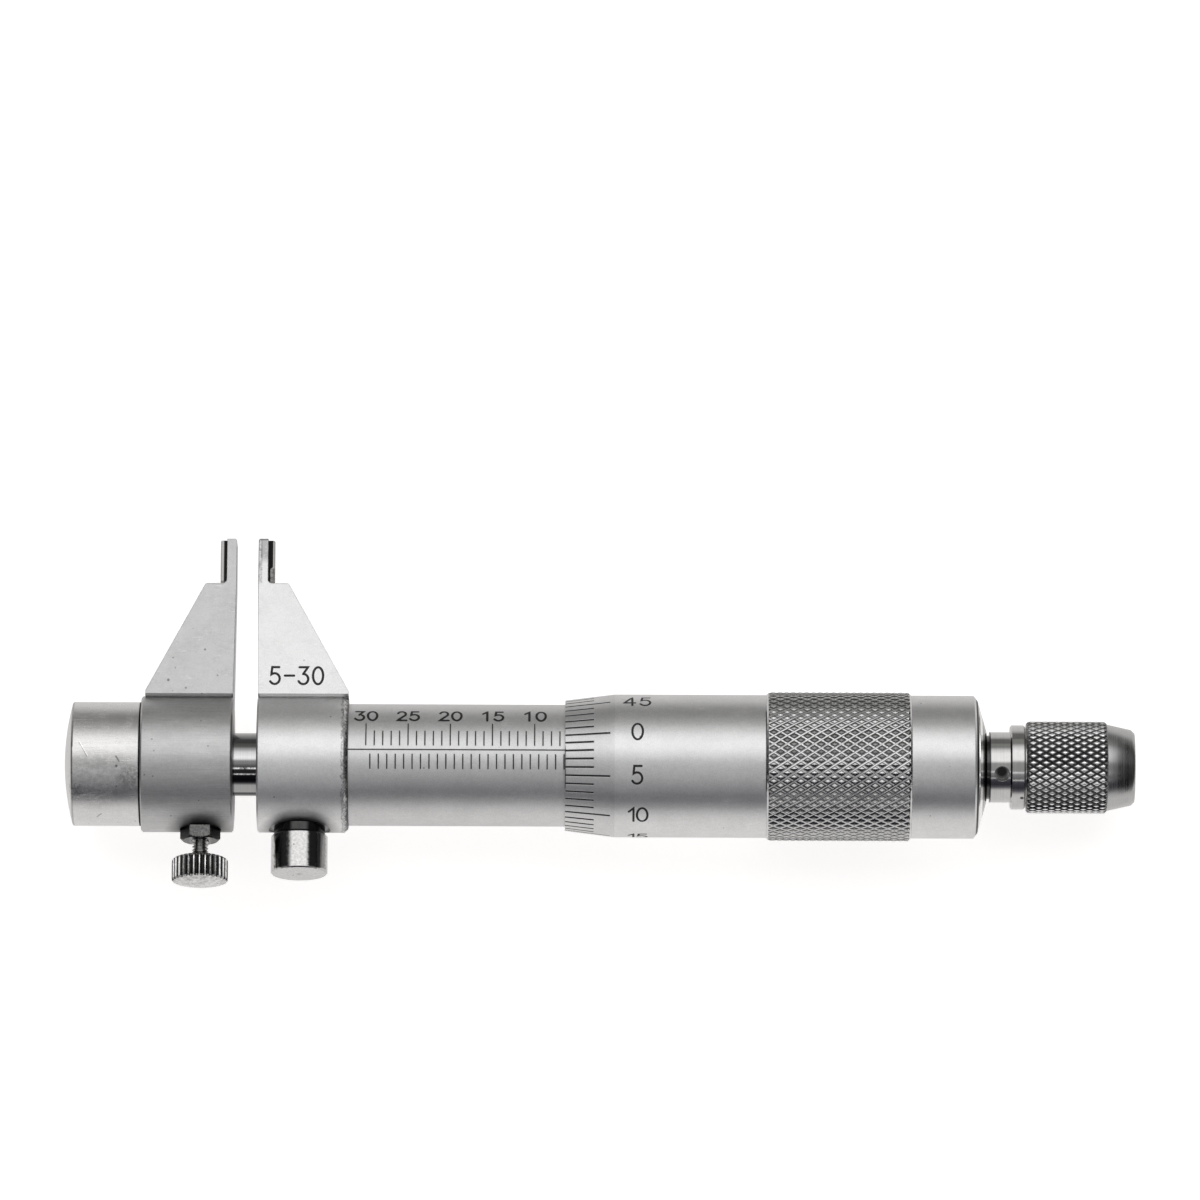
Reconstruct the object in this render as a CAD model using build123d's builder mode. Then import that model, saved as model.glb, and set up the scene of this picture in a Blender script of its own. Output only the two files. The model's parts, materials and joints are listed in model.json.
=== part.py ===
"""Inside micrometer for 5 to 30 mm, in millimetres.

Instrument frame while modelling: +X runs along the spindle from the end cap to the ratchet, with X = 0 at
the inner face of the fixed jaw's finger. +Y points from the spindle to the jaw tips, and +Z out of the front
faces of the blades. At the end every piece is laid down as the instrument rests on a table, on the knurl of
its thimble and on its jaw tips, so that it is rolled a little about the spindle, with the floor at Z = 0.
"""

import os
from math import asin, atan2, cos, degrees, hypot, pi, radians, sin

from build123d import *

os.makedirs("parts", exist_ok=True)

# Measuring range, and the reading at which the instrument lies here
range_min = 5.0
range_max = 30.0
reading = 6.518
screw_pitch = 0.5

# Clearances, each on one side: of what turns or slides, and of what is fixed in another piece
running = 0.06
seat = 0.02

# How far a cut runs on past the face that it opens
overcut = 1.0

# Rings and blades of the jaws, with Y values from the spindle
ring_dia = 16.2
ring_edge = 0.2
fixed_ring_end = 10.95
fixed_ring_edge = 0.45
moving_ring_length = 10.9
ring_setback = 0.15
blade_sink = 0.7
blade_top = 21.8
blade_tip = 27.5
blade_root_thickness = 7.8
blade_tip_thickness = 3.1
blade_edge = 0.3
blade_lean = 0.2
moving_blade_inset = 0.43
shoulder_width = 3.65
shoulder_round = 0.4
finger_width = 1.15
finger_round = 0.5
finger_tip_round = 0.25

# Measuring inserts on the fingers
tip_reach = 1.96
tip_groove = 0.25
tip_thickness = 1.4
tip_crown = 2.2
tip_length = 5.0

# Guide tube of the moving jaw, with the key that slides in its keyway
tube_dia = 7.5
tube_room = 3.43
tube_seat_length = 6.0
key_inset = 5.75
key_length = 3.0
key_width = 1.5
key_pin_dia = 3.4
key_play = 0.2
key_hold = 0.2
keyway_depth = 0.55
keyway_spare = 0.5

# Key plug under the fixed jaw and the spring in it
plug_dia = 6.75
plug_length = 4.6
plug_gap = 0.7
plug_neck_dia = 6.1
plug_sink = 0.4
plug_recess_dia = 7.3
plug_stem_dia = 5.0
plug_stem_length = 1.4
plug_bore = 2.6
plug_floor = 1.4
plug_edge = 0.15
plug_dimple_dia = 1.0
plug_dimple_depth = 0.25
key_spring_dia = 2.3
key_spring_wire = 0.35
key_spring_turns = 7

# Inner barrel with the slotted nut, the graduated sleeve on it and the adjusting nut
barrel_spigot_step = 1.05
barrel_spigot_length = 3.0
barrel_dia = 13.1
barrel_step = 0.5
barrel_thread_step = 0.75
barrel_thread_length = 8.0
nut_length = 16.0
nut_slot_width = 0.5
nut_slot_length = 12.0
nut_slots = 3
sleeve_wall = 0.68
sleeve_length = 37.5
sleeve_hole_dia = 1.6
sleeve_hole_x = 20.0
adjuster_room = 0.35
adjuster_length = 4.0
adjuster_place = 2.0
adjuster_notch_width = 1.2
adjuster_notch_depth = 0.6

# Graduations: lengths of arc on the sleeve, lengths along the bevel on the thimble
mark_30 = 13.12
mark_width = 0.12
mark_depth = 0.05
mark_gap = 0.52
long_every = 5
upper_short = 1.95
upper_long = 3.05
lower_short = 1.8
edge_allowance = 0.12
divisions = 50
division_short = 3.45
division_long = 5.4

# Measuring screw and its end bearing
shank_dia = 4.8
shank_room = 0.1
thread_dia = 6.5
thread_lead_in = 1.0
relief_dia = 5.6
relief_length = 1.6
collar_length = 0.6
cone_large_dia = 7.8
cone_small_dia = 7.2
cone_length = 4.8
stub_dia = 3.8
stub_length = 5.0
journal_dia = 3.4
bush_length = 1.95
tail_dia = 3.0
bearing_nut_flats = 6.0
bearing_nut_length = 1.9
tail_spare = 0.6

# End cap
cap_dia = 14.75
cap_length = 9.0
cap_dome = 1.0
cap_edge = 0.3
cap_groove = 0.15
cap_spigot_dia = 12.0
cap_cavity_dia = 8.0
cap_wall = 3.2

# Lock under the moving jaw
lock_offset = 3.99
lock_pitch = 0.4
lock_angle = 270
lock_dia = 2.0
lock_pad_end = 5.0
bush_stem_dia = 3.6
bush_stem_length = 1.7
bush_flats = 4.15
bush_sink = 0.2
bush_length_out = 1.5
bush_edge = 0.25
lock_neck = 0.5
lock_head_gap = 2.1
lock_head_dia = 6.7
lock_head_length = 2.9
lock_head_round = 0.5
lock_head_dome = 0.4
lock_ridges = 30
lock_ridge_depth = 0.28

# Thimble and its hub, with the knurl's place from the edge of the thimble
thimble_room = 0.1
thimble_edge_wall = 0.4
thimble_bevel = 5.9
thimble_wall = 1.15
thimble_end_edge = 0.5
thimble_end_wall = 0.45
knurl_rise = 0.375
knurl_start = 23.93
knurl_length = 17.2
knurl_edge = 0.35
hub_room = 0.7
hub_length = 4.69
hub_proud = 0.15
hub_slope = 0.85
hub_end_dia = 8.6

# Ratchet body, with X values from the end of the hub
neck_dia = 7.6
collar_start = 0.35
collar_dia = 8.4
flange_start = 2.8
flange_dia = 10.05
flange_end = 4.6
flange_edge = 0.2
spanner_hole_x = 1.8
spanner_hole_dia = 1.8
spanner_hole_depth = 1.5
spanner_hole_angle = -25.3
land_length = 0.75
stem_dia = 4.5

# Ratchet knob, its toothed ring, spring and end screw
knob_dia = 11.0
knob_bore = 8.6
knob_knurl_length = 9.6
knob_edge = 0.3
knob_taper_step = 0.35
knob_taper_length = 2.9
knob_taper_fall = 0.65
knob_end_edge = 0.4
knob_end_rim = 0.9
knob_recess_depth = 2.05
knob_wall = 2.0
tooth_count = 12
tooth_height = 0.4
tooth_width = 1.2
tooth_root = 0.1
tooth_inner = 2.7
tooth_room = 0.3
ratchet_ring_length = 1.9
ratchet_spring_dia = 7.5
ratchet_spring_wire = 0.7
ratchet_spring_turns = 4
end_screw_dia = 2.5
end_screw_length = 7.5
end_screw_room = 0.2
end_screw_head_length = 1.4
end_screw_slot = 0.7

# Diameters, each from what the piece runs in or sits on
tube_bore = shank_dia + 2 * shank_room
barrel_spigot_dia = barrel_dia - 2 * barrel_spigot_step
barrel_thread_dia = barrel_dia - 2 * barrel_thread_step
sleeve_dia = barrel_dia + 2 * (seat + sleeve_wall)
thimble_bore = sleeve_dia + 2 * thimble_room
thimble_edge_dia = thimble_bore + 2 * thimble_edge_wall
thimble_dia = thimble_bore + 2 * thimble_wall
thimble_end_dia = thimble_bore + 2 * thimble_end_wall
knurl_dia = thimble_dia + 2 * knurl_rise
adjuster_dia = thimble_bore - 2 * adjuster_room
knob_taper_dia = knob_dia - 2 * knob_taper_step
knob_end_dia = knob_taper_dia - 2 * knob_taper_fall
knob_recess_dia = knob_end_dia - 2 * knob_end_rim
end_screw_head_dia = knob_recess_dia - 2 * end_screw_room
tooth_outer = knob_bore / 2 - tooth_room

# Places that follow from the reading
finger_gap = reading - 2 * tip_reach
moving_x = -finger_gap
moving_ring_right = moving_x - ring_setback
moving_ring_left = moving_ring_right - moving_ring_length
tube_left = moving_x - tube_seat_length
thimble_edge = mark_30 + range_max - reading + edge_allowance
open_travel = range_max - reading
close_travel = reading - range_min
zero_line = (reading % screw_pitch) / screw_pitch * 360

# Places along the fixed side
spigot_start = fixed_ring_end - barrel_spigot_length
sleeve_end = fixed_ring_end + sleeve_length
barrel_thread_start = sleeve_end + barrel_step
barrel_end = barrel_thread_start + barrel_thread_length
nut_start = barrel_end - nut_length
tube_right = nut_start - close_travel - tube_room
key_x = fixed_ring_end - key_inset
adjuster_start = barrel_thread_start + adjuster_place

# Places along the thimble's side
hub_start = barrel_end + open_travel + hub_room
thimble_end = hub_start + hub_length
hub_slope_start = thimble_end + hub_proud
hub_end = hub_slope_start + hub_slope
thread_end = hub_start - collar_length - relief_length
cone_end = hub_start + cone_length
land_start = hub_end + flange_end
land_end = land_start + land_length
knob_start = land_start + 2 * running
knob_knurl_end = knob_start + knob_knurl_length
knob_taper_end = knob_knurl_end + knob_taper_length
knob_end = knob_taper_end + knob_end_edge
knob_wall_end = knob_end - knob_recess_depth
knob_wall_start = knob_wall_end - knob_wall
stem_end = knob_wall_end + running

# Places in the end bearing, from the guide tube's end to the left
bush_right = tube_left - seat
bush_left = bush_right - bush_length
journal_right = bush_right + running
journal_left = bush_left - running
bearing_nut_left = journal_left - bearing_nut_length
tail_left = bearing_nut_left - tail_spare
cap_right = moving_ring_left - cap_groove
cap_left = cap_right - cap_length

# Heights over the spindle and depths under it
blade_root = ring_dia / 2 - blade_sink
blade_heel = ring_dia / 2
tube_radius = tube_dia / 2
guide_bore = tube_dia + 2 * running
key_tip = tube_radius - keyway_depth + running
key_shoulder = tube_radius + key_hold
plug_neck_top = ring_dia / 2 - plug_sink
plug_body_top = ring_dia / 2 + plug_gap
plug_end = plug_body_top + plug_length
plug_stem_end = plug_neck_top - plug_stem_length
key_back = plug_stem_end - key_play
plug_bore_end = plug_end - plug_floor
lock_travel = lock_pitch * lock_angle / 360
lock_x = moving_x - lock_offset
bush_top = ring_dia / 2 - bush_sink
bush_stem_end = bush_top - bush_stem_length
bush_bottom = bush_top + bush_length_out
lock_head_top = bush_bottom + lock_head_gap
bush_corner = bush_flats / 3**0.5
lock_pad_face = shank_dia / 2 + running + lock_travel


def outline(points):
    """Face bounded by straight runs through (x, radius) points."""
    with BuildSketch(Plane.XY) as face:
        with BuildLine():
            Polyline(*points, close=True)
        make_face()
    return face.sketch


def band(start, end, inner_dia, outer_dia):
    """Section of a plain ring or, with an inner diameter of zero, of a plain rod."""
    inner = inner_dia / 2
    outer = outer_dia / 2
    return outline([(start, inner), (end, inner), (end, outer), (start, outer)])


def under(x, points):
    """Face for a turned piece under a ring at x, from (radius, depth from the spindle) points."""
    return outline([(x + radius, -depth) for radius, depth in points])


def under_band(x, top, bottom, inner_dia, outer_dia):
    """Section of a plain ring or rod under a ring at x, between two depths."""
    inner = inner_dia / 2
    outer = outer_dia / 2
    return under(x, [(inner, top), (outer, top), (outer, bottom), (inner, bottom)])


def down_axis(x):
    """Axis of what sits under a ring at x."""
    return Axis((x, 0, 0), (0, -1, 0))


def below(x, depth):
    """Plane at a depth under the spindle with its normal away from the jaw tips."""
    return Plane(origin=(x, -depth, 0), x_dir=(1, 0, 0), z_dir=(0, -1, 0))


def radial_plane(angle):
    """Plane through the spindle: its X along the spindle, its Y outwards at an angle from +Z towards +Y."""
    a = radians(angle)
    return Plane(origin=(0, 0, 0), x_dir=(1, 0, 0), z_dir=(0, -cos(a), sin(a)))


def facing_out(x, radius, angle):
    """Plane that looks away from the spindle at an angle from +Z towards +Y, with its X along the spindle."""
    a = radians(angle)
    return Plane(origin=(x, radius * sin(a), radius * cos(a)), x_dir=(1, 0, 0), z_dir=(0, sin(a), cos(a)))


# Blades

def blade(inner_x, side, outer_x):
    """Blade with its finger and the groove for its insert. Side is +1 where it measures towards +X, or -1."""
    finger_x = inner_x + side * finger_width
    shoulder_x = inner_x + side * shoulder_width
    corners = [
        (inner_x + side * blade_lean, blade_root),
        (outer_x, blade_root),
        (outer_x, blade_heel),
        (shoulder_x, blade_top),
        (finger_x, blade_top),
        (finger_x, blade_tip),
        (inner_x, blade_tip),
        (inner_x, blade_top),
    ]
    rounds = [0, 0, 0, shoulder_round, finger_round, 0, finger_tip_round, 0]
    root = blade_root_thickness / 2
    tip = blade_tip_thickness / 2
    taper = [
        (blade_root, blade_edge - root),
        (blade_root, root - blade_edge),
        (blade_root + blade_edge, root),
        (blade_tip, tip),
        (blade_tip, -tip),
        (blade_root + blade_edge, -root),
    ]
    groove = Plane(origin=(finger_x, blade_tip, 0), x_dir=(1, 0, 0), z_dir=(0, -1, 0))
    with BuildPart() as plate:
        with BuildSketch(Plane.XY):
            with BuildLine():
                FilletPolyline(*corners, radius=rounds, close=True)
            make_face()
        extrude(amount=blade_root_thickness, both=True)
        with BuildSketch(Plane.YZ):
            with BuildLine():
                Polyline(*taper, close=True)
            make_face()
        extrude(amount=abs(outer_x) + ring_dia, both=True, mode=Mode.INTERSECT)
        with BuildSketch(groove):
            Rectangle(2 * tip_groove, tip_thickness + 2 * seat)
        extrude(amount=tip_length + seat, mode=Mode.SUBTRACT)
    return plate.part


def insert(inner_x, side):
    """Measuring insert, with its crowned face at the reach from the finger's inner face."""
    back = inner_x + side * (finger_width - tip_groove + seat)
    front = inner_x + side * tip_reach
    half = tip_thickness / 2
    edge = front - side * (tip_crown - (tip_crown**2 - half**2) ** 0.5)
    with BuildPart() as bar:
        with BuildSketch(Plane(origin=(0, blade_tip, 0), x_dir=(1, 0, 0), z_dir=(0, -1, 0))):
            with BuildLine():
                Polyline((edge, -half), (back, -half), (back, half), (edge, half))
                ThreePointArc((edge, half), (front, 0), (edge, -half))
            make_face()
        extrude(amount=tip_length)
    return bar.part


# Fixed jaw: ring, blade, seat of the barrel and holes for the key and its plug

fixed_blade = blade(0, 1, fixed_ring_end)
fixed_ring_outline = [
    (ring_setback, guide_bore / 2),
    (spigot_start - seat, guide_bore / 2),
    (spigot_start - seat, barrel_spigot_dia / 2 + seat),
    (fixed_ring_end, barrel_spigot_dia / 2 + seat),
    (fixed_ring_end, ring_dia / 2 - fixed_ring_edge),
    (fixed_ring_end - fixed_ring_edge, ring_dia / 2),
    (ring_setback + ring_edge, ring_dia / 2),
    (ring_setback, ring_dia / 2 - ring_edge),
]
with BuildPart() as fixed_jaw:
    add(fixed_blade)
    revolve(outline(fixed_ring_outline), axis=Axis.X)
    revolve(
        under_band(key_x, 0, plug_neck_top, 0, key_pin_dia + 2 * seat),
        axis=down_axis(key_x),
        mode=Mode.SUBTRACT,
    )
    revolve(
        under_band(key_x, plug_stem_end - seat, ring_dia, 0, plug_stem_dia + 2 * seat),
        axis=down_axis(key_x),
        mode=Mode.SUBTRACT,
    )
    revolve(
        under_band(key_x, plug_neck_top - seat, ring_dia, 0, plug_recess_dia),
        axis=down_axis(key_x),
        mode=Mode.SUBTRACT,
    )
fixed_jaw.part.label = "fixed_jaw"

with BuildPart() as fixed_tip:
    add(insert(0, 1))
fixed_tip.part.label = "fixed_tip"

# Key, its spring and the plug that holds them

with BuildPart() as guide_key:
    revolve(under_band(key_x, key_shoulder, key_back, 0, key_pin_dia), axis=down_axis(key_x))
    with BuildSketch(below(key_x, key_tip)):
        Rectangle(key_length, key_width)
    extrude(amount=key_shoulder - key_tip)
guide_key.part.label = "guide_key"

spring_top = key_back + seat + key_spring_wire / 2
spring_bottom = plug_bore_end - seat - key_spring_wire / 2
with BuildPart() as key_spring:
    with BuildLine() as spring_path:
        Helix(
            pitch=(spring_bottom - spring_top) / key_spring_turns,
            height=spring_bottom - spring_top,
            radius=(key_spring_dia - key_spring_wire) / 2,
            center=(key_x, -spring_top, 0),
            direction=(0, -1, 0),
        )
    with BuildSketch(Plane(origin=spring_path.line @ 0, z_dir=spring_path.line % 0)):
        Circle(key_spring_wire / 2)
    sweep(path=spring_path.line, is_frenet=True)
key_spring.part.label = "key_spring"

plug_radius = plug_dia / 2
plug_outline = [
    (plug_bore / 2, plug_stem_end),
    (plug_stem_dia / 2, plug_stem_end),
    (plug_stem_dia / 2, plug_neck_top),
    (plug_neck_dia / 2, plug_neck_top),
    (plug_neck_dia / 2, plug_body_top - plug_edge),
    (plug_radius - plug_edge, plug_body_top),
    (plug_radius, plug_body_top + plug_edge),
    (plug_radius, plug_end - plug_edge),
    (plug_radius - plug_edge, plug_end),
    (plug_dimple_dia / 2, plug_end),
    (0, plug_end - plug_dimple_depth),
    (0, plug_bore_end),
    (plug_bore / 2, plug_bore_end),
]
with BuildPart() as key_plug:
    revolve(under(key_x, plug_outline), axis=down_axis(key_x))
key_plug.part.label = "key_plug"

# Inner barrel: spigot in the fixed jaw, bore for the guide tube and slotted nut

barrel_outline = [
    (spigot_start, guide_bore / 2),
    (nut_start, guide_bore / 2),
    (nut_start, thread_dia / 2 + running),
    (barrel_end, thread_dia / 2 + running),
    (barrel_end, barrel_thread_dia / 2),
    (barrel_thread_start, barrel_thread_dia / 2),
    (barrel_thread_start, barrel_dia / 2),
    (fixed_ring_end + seat, barrel_dia / 2),
    (fixed_ring_end + seat, barrel_spigot_dia / 2),
    (spigot_start, barrel_spigot_dia / 2),
]
slot_planes = [facing_out(barrel_end - nut_slot_length / 2, 0, k * 360 / nut_slots) for k in range(nut_slots)]
with BuildPart() as inner_barrel:
    revolve(outline(barrel_outline), axis=Axis.X)
    with Locations(*slot_planes):
        Box(
            nut_slot_length,
            nut_slot_width,
            barrel_dia,
            align=(Align.CENTER, Align.CENTER, Align.MIN),
            mode=Mode.SUBTRACT,
        )
inner_barrel.part.label = "inner_barrel"

# Adjusting nut: a ring on the slotted end, with two notches for its spanner

notch_planes = [facing_out(adjuster_start + adjuster_length, adjuster_dia / 2, a) for a in (90, 270)]
with BuildPart() as adjusting_nut:
    revolve(
        band(adjuster_start, adjuster_start + adjuster_length, barrel_thread_dia + 2 * seat, adjuster_dia),
        axis=Axis.X,
    )
    with Locations(*notch_planes):
        Box(2 * adjuster_notch_depth, adjuster_notch_width, adjuster_dia / 2, mode=Mode.SUBTRACT)
adjusting_nut.part.label = "adjusting_nut"

# Sleeve: index line, marks for whole millimetres above it and half millimetres below it

whole = range(int(range_min), int(range_max) + 1)
mark_0 = mark_30 + range_max
long_marks = [mark_0 - n for n in whole if n % long_every == 0]
short_marks = [mark_0 - n for n in whole if n % long_every]
half_marks = [mark_0 - n - screw_pitch for n in whole if n < range_max]
sleeve_radius = sleeve_dia / 2
gap_arc = degrees(mark_gap / sleeve_radius)
mark_rows = [
    (long_marks, gap_arc, degrees(upper_long / sleeve_radius)),
    (short_marks, gap_arc, degrees(upper_short / sleeve_radius)),
    (half_marks, -gap_arc - degrees(lower_short / sleeve_radius), degrees(lower_short / sleeve_radius)),
]
index_middle = (fixed_ring_end + sleeve_end) / 2
with BuildPart() as sleeve:
    revolve(band(fixed_ring_end + seat, sleeve_end, barrel_dia + 2 * seat, sleeve_dia), axis=Axis.X)
    for places, low_angle, arc in mark_rows:
        with BuildSketch(radial_plane(low_angle + arc)):
            with Locations(*[(x, sleeve_radius) for x in places]):
                Rectangle(mark_width, 2 * mark_depth)
        revolve(axis=Axis.X, revolution_arc=arc, mode=Mode.SUBTRACT)
    with Locations(facing_out(index_middle, sleeve_radius, 0)):
        Box(sleeve_length + 2 * overcut, mark_width, 2 * mark_depth, mode=Mode.SUBTRACT)
    with BuildSketch(facing_out(sleeve_hole_x, barrel_dia / 4, 180)):
        Circle(sleeve_hole_dia / 2)
    extrude(amount=sleeve_dia, mode=Mode.SUBTRACT)
sleeve.part.label = "sleeve"

# Moving jaw: ring, blade, seat of the guide tube, room for the end bearing and the lock

moving_blade = blade(moving_x, -1, moving_ring_left + moving_blade_inset)
lock_bore = under_band(lock_x, 0, ring_dia, 0, lock_dia + 2 * running)
moving_ring_outline = [
    (moving_ring_left, 0),
    (moving_ring_right, 0),
    (moving_ring_right, ring_dia / 2 - ring_edge),
    (moving_ring_right - ring_edge, ring_dia / 2),
    (moving_ring_left + ring_edge, ring_dia / 2),
    (moving_ring_left, ring_dia / 2 - ring_edge),
]
with BuildPart() as moving_jaw:
    add(moving_blade)
    revolve(outline(moving_ring_outline), axis=Axis.X)
    revolve(band(tube_left - overcut, moving_x, 0, tube_dia + 2 * seat), axis=Axis.X, mode=Mode.SUBTRACT)
    revolve(
        band(moving_ring_left - overcut, tube_left, 0, cap_spigot_dia + 2 * seat),
        axis=Axis.X,
        mode=Mode.SUBTRACT,
    )
    revolve(lock_bore, axis=down_axis(lock_x), mode=Mode.SUBTRACT)
    revolve(
        under_band(lock_x, bush_stem_end - seat, ring_dia, 0, bush_stem_dia + 2 * seat),
        axis=down_axis(lock_x),
        mode=Mode.SUBTRACT,
    )
    revolve(
        under_band(lock_x, bush_top - seat, ring_dia, 0, 2 * (bush_corner + running)),
        axis=down_axis(lock_x),
        mode=Mode.SUBTRACT,
    )
moving_jaw.part.label = "moving_jaw"

with BuildPart() as moving_tip:
    add(insert(moving_x, -1))
moving_tip.part.label = "moving_tip"

# Guide tube: keyway for the whole travel and a hole for the lock pad

keyway_left = key_x - key_length / 2 - close_travel - keyway_spare
keyway_right = key_x + key_length / 2 + open_travel + keyway_spare
with BuildPart() as guide_tube:
    revolve(band(tube_left, tube_right, tube_bore, tube_dia), axis=Axis.X)
    with BuildSketch(below((keyway_left + keyway_right) / 2, tube_radius - keyway_depth)):
        Rectangle(keyway_right - keyway_left, key_width + 2 * running)
    extrude(amount=tube_dia, mode=Mode.SUBTRACT)
    revolve(lock_bore, axis=down_axis(lock_x), mode=Mode.SUBTRACT)
guide_tube.part.label = "guide_tube"

# End cap: domed, with a spigot that holds the thrust bush

dome_radius = ((cap_dia / 2) ** 2 + cap_dome**2) / (2 * cap_dome)
dome_half = asin(cap_dia / 2 / dome_radius) / 2
dome_middle = (cap_left + dome_radius * (1 - cos(dome_half)), dome_radius * sin(dome_half))
dome_rim = (cap_left + cap_dome, cap_dia / 2)
with BuildPart() as end_cap:
    with BuildSketch(Plane.XY) as cap_face:
        with BuildLine():
            ThreePointArc((cap_left, 0), dome_middle, dome_rim)
            Polyline(dome_rim, (cap_right, cap_dia / 2), (cap_right, 0), (cap_left, 0))
        make_face()
        fillet(cap_face.vertices().sort_by_distance(dome_rim)[0], cap_edge)
    revolve(axis=Axis.X)
    revolve(band(cap_right, bush_left - seat, 0, cap_spigot_dia), axis=Axis.X)
    revolve(
        band(cap_left + cap_dome + cap_wall, bush_left + overcut, 0, cap_cavity_dia),
        axis=Axis.X,
        mode=Mode.SUBTRACT,
    )
end_cap.part.label = "end_cap"

with BuildPart() as thrust_bush:
    revolve(band(bush_left, bush_right, journal_dia + 2 * running, cap_spigot_dia), axis=Axis.X)
thrust_bush.part.label = "thrust_bush"

# Lock: hexagon bush in the ring, pad on the shank and thumb screw with a straight knurl

with BuildPart() as lock_bush:
    with BuildSketch(below(lock_x, bush_top)):
        RegularPolygon(radius=bush_flats / 2, side_count=6, major_radius=False)
    extrude(amount=bush_bottom - bush_top)
    chamfer_cone = [
        (0, bush_top),
        (bush_corner, bush_top),
        (bush_corner, bush_bottom - bush_edge),
        (bush_flats / 2, bush_bottom),
        (0, bush_bottom),
    ]
    revolve(under(lock_x, chamfer_cone), axis=down_axis(lock_x), mode=Mode.INTERSECT)
    revolve(under_band(lock_x, bush_stem_end, bush_top + seat, 0, bush_stem_dia), axis=down_axis(lock_x))
    revolve(lock_bore, axis=down_axis(lock_x), mode=Mode.SUBTRACT)
lock_bush.part.label = "lock_bush"

with BuildPart() as lock_pad:
    revolve(under_band(lock_x, lock_pad_face, lock_pad_end, 0, lock_dia), axis=down_axis(lock_x))
lock_pad.part.label = "lock_pad"

ridge_points = []
for k in range(2 * lock_ridges):
    ridge_radius = lock_head_dia / 2 - (k % 2) * lock_ridge_depth
    ridge_angle = pi * k / lock_ridges
    ridge_points.append((ridge_radius * cos(ridge_angle), ridge_radius * sin(ridge_angle)))
lock_head_radius = lock_head_dia / 2
lock_head_bottom = lock_head_top + lock_head_length
head_limit = [
    (0, lock_head_top),
    (lock_head_radius - lock_head_round, lock_head_top),
    (lock_head_radius, lock_head_top + lock_head_round),
    (lock_head_radius, lock_head_bottom - lock_head_round / 2),
    (lock_head_radius - lock_head_round / 2, lock_head_bottom),
    (0, lock_head_bottom + lock_head_dome),
]
with BuildPart() as ridged_head:
    with BuildSketch(below(lock_x, lock_head_top)):
        with BuildLine():
            Polyline(*ridge_points, close=True)
        make_face()
    extrude(amount=lock_head_length + lock_head_dome)
    revolve(under(lock_x, head_limit), axis=down_axis(lock_x), mode=Mode.INTERSECT)

lock_shank = [
    (0, lock_pad_end + running),
    (lock_dia / 2, lock_pad_end + running),
    (lock_dia / 2, lock_head_top - lock_neck),
    (lock_dia, lock_head_top),
    (lock_dia, lock_head_top + lock_neck),
    (0, lock_head_top + lock_neck),
]
with BuildPart() as lock_screw:
    add(ridged_head.part)
    revolve(under(lock_x, lock_shank), axis=down_axis(lock_x))
lock_screw.part.label = "lock_screw"

# Measuring screw: journal in the end bearing, shank in the guide tube, thread in the nut, cone in the hub

cone_large = cone_large_dia / 2
cone_small = cone_small_dia / 2
screw_outline = [
    (tail_left, 0),
    (tail_left, tail_dia / 2),
    (journal_left, tail_dia / 2),
    (journal_left, journal_dia / 2),
    (journal_right, journal_dia / 2),
    (journal_right, shank_dia / 2),
    (tube_right + thread_lead_in, shank_dia / 2),
    (tube_right + thread_lead_in, thread_dia / 2),
    (thread_end, thread_dia / 2),
    (thread_end, relief_dia / 2),
    (hub_start - collar_length, relief_dia / 2),
    (hub_start - collar_length, cone_large),
    (hub_start, cone_large),
    (cone_end, cone_small),
    (cone_end, stub_dia / 2),
    (cone_end + stub_length, stub_dia / 2),
    (cone_end + stub_length, 0),
]
with BuildPart() as measuring_screw:
    revolve(outline(screw_outline), axis=Axis.X)
measuring_screw.part.label = "measuring_screw"

with BuildPart() as bearing_nut:
    with BuildSketch(Plane.YZ.offset(bearing_nut_left)):
        RegularPolygon(radius=bearing_nut_flats / 2, side_count=6, major_radius=False)
        Circle(tail_dia / 2 + seat, mode=Mode.SUBTRACT)
    extrude(amount=bearing_nut_length)
bearing_nut.part.label = "bearing_nut"

# Thimble: bevel with the divisions, knurled band and open bore

bevel_rise = (thimble_dia - thimble_edge_dia) / 2
bevel_slope = atan2(bevel_rise, thimble_bevel)
knurl_left = thimble_edge + knurl_start
knurl_right = knurl_left + knurl_length
thimble_outline = [
    (thimble_edge, thimble_bore / 2),
    (thimble_end, thimble_bore / 2),
    (thimble_end, thimble_end_dia / 2),
    (thimble_end - thimble_end_edge, thimble_dia / 2),
    (knurl_right, thimble_dia / 2),
    (knurl_right - knurl_edge, knurl_dia / 2),
    (knurl_left + knurl_edge, knurl_dia / 2),
    (knurl_left, thimble_dia / 2),
    (thimble_edge + thimble_bevel, thimble_dia / 2),
    (thimble_edge, thimble_edge_dia / 2),
]


def division_plane(number, length):
    """Plane on the bevel at the middle of a division line, with its X along the line."""
    a = radians(zero_line - number * 360 / divisions)
    radius = thimble_edge_dia / 2 + length / 2 * sin(bevel_slope)
    along = (cos(bevel_slope), sin(bevel_slope) * sin(a), sin(bevel_slope) * cos(a))
    outward = (-sin(bevel_slope), cos(bevel_slope) * sin(a), cos(bevel_slope) * cos(a))
    middle = (thimble_edge + length / 2 * cos(bevel_slope), radius * sin(a), radius * cos(a))
    return Plane(origin=middle, x_dir=along, z_dir=outward)


long_lines = [division_plane(n, division_long) for n in range(divisions) if n % long_every == 0]
short_lines = [division_plane(n, division_short) for n in range(divisions) if n % long_every]
with BuildPart() as thimble:
    revolve(outline(thimble_outline), axis=Axis.X)
    with Locations(*long_lines):
        Box(division_long, mark_width, 2 * mark_depth, mode=Mode.SUBTRACT)
    with Locations(*short_lines):
        Box(division_short, mark_width, 2 * mark_depth, mode=Mode.SUBTRACT)
thimble.part.label = "thimble"

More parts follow.
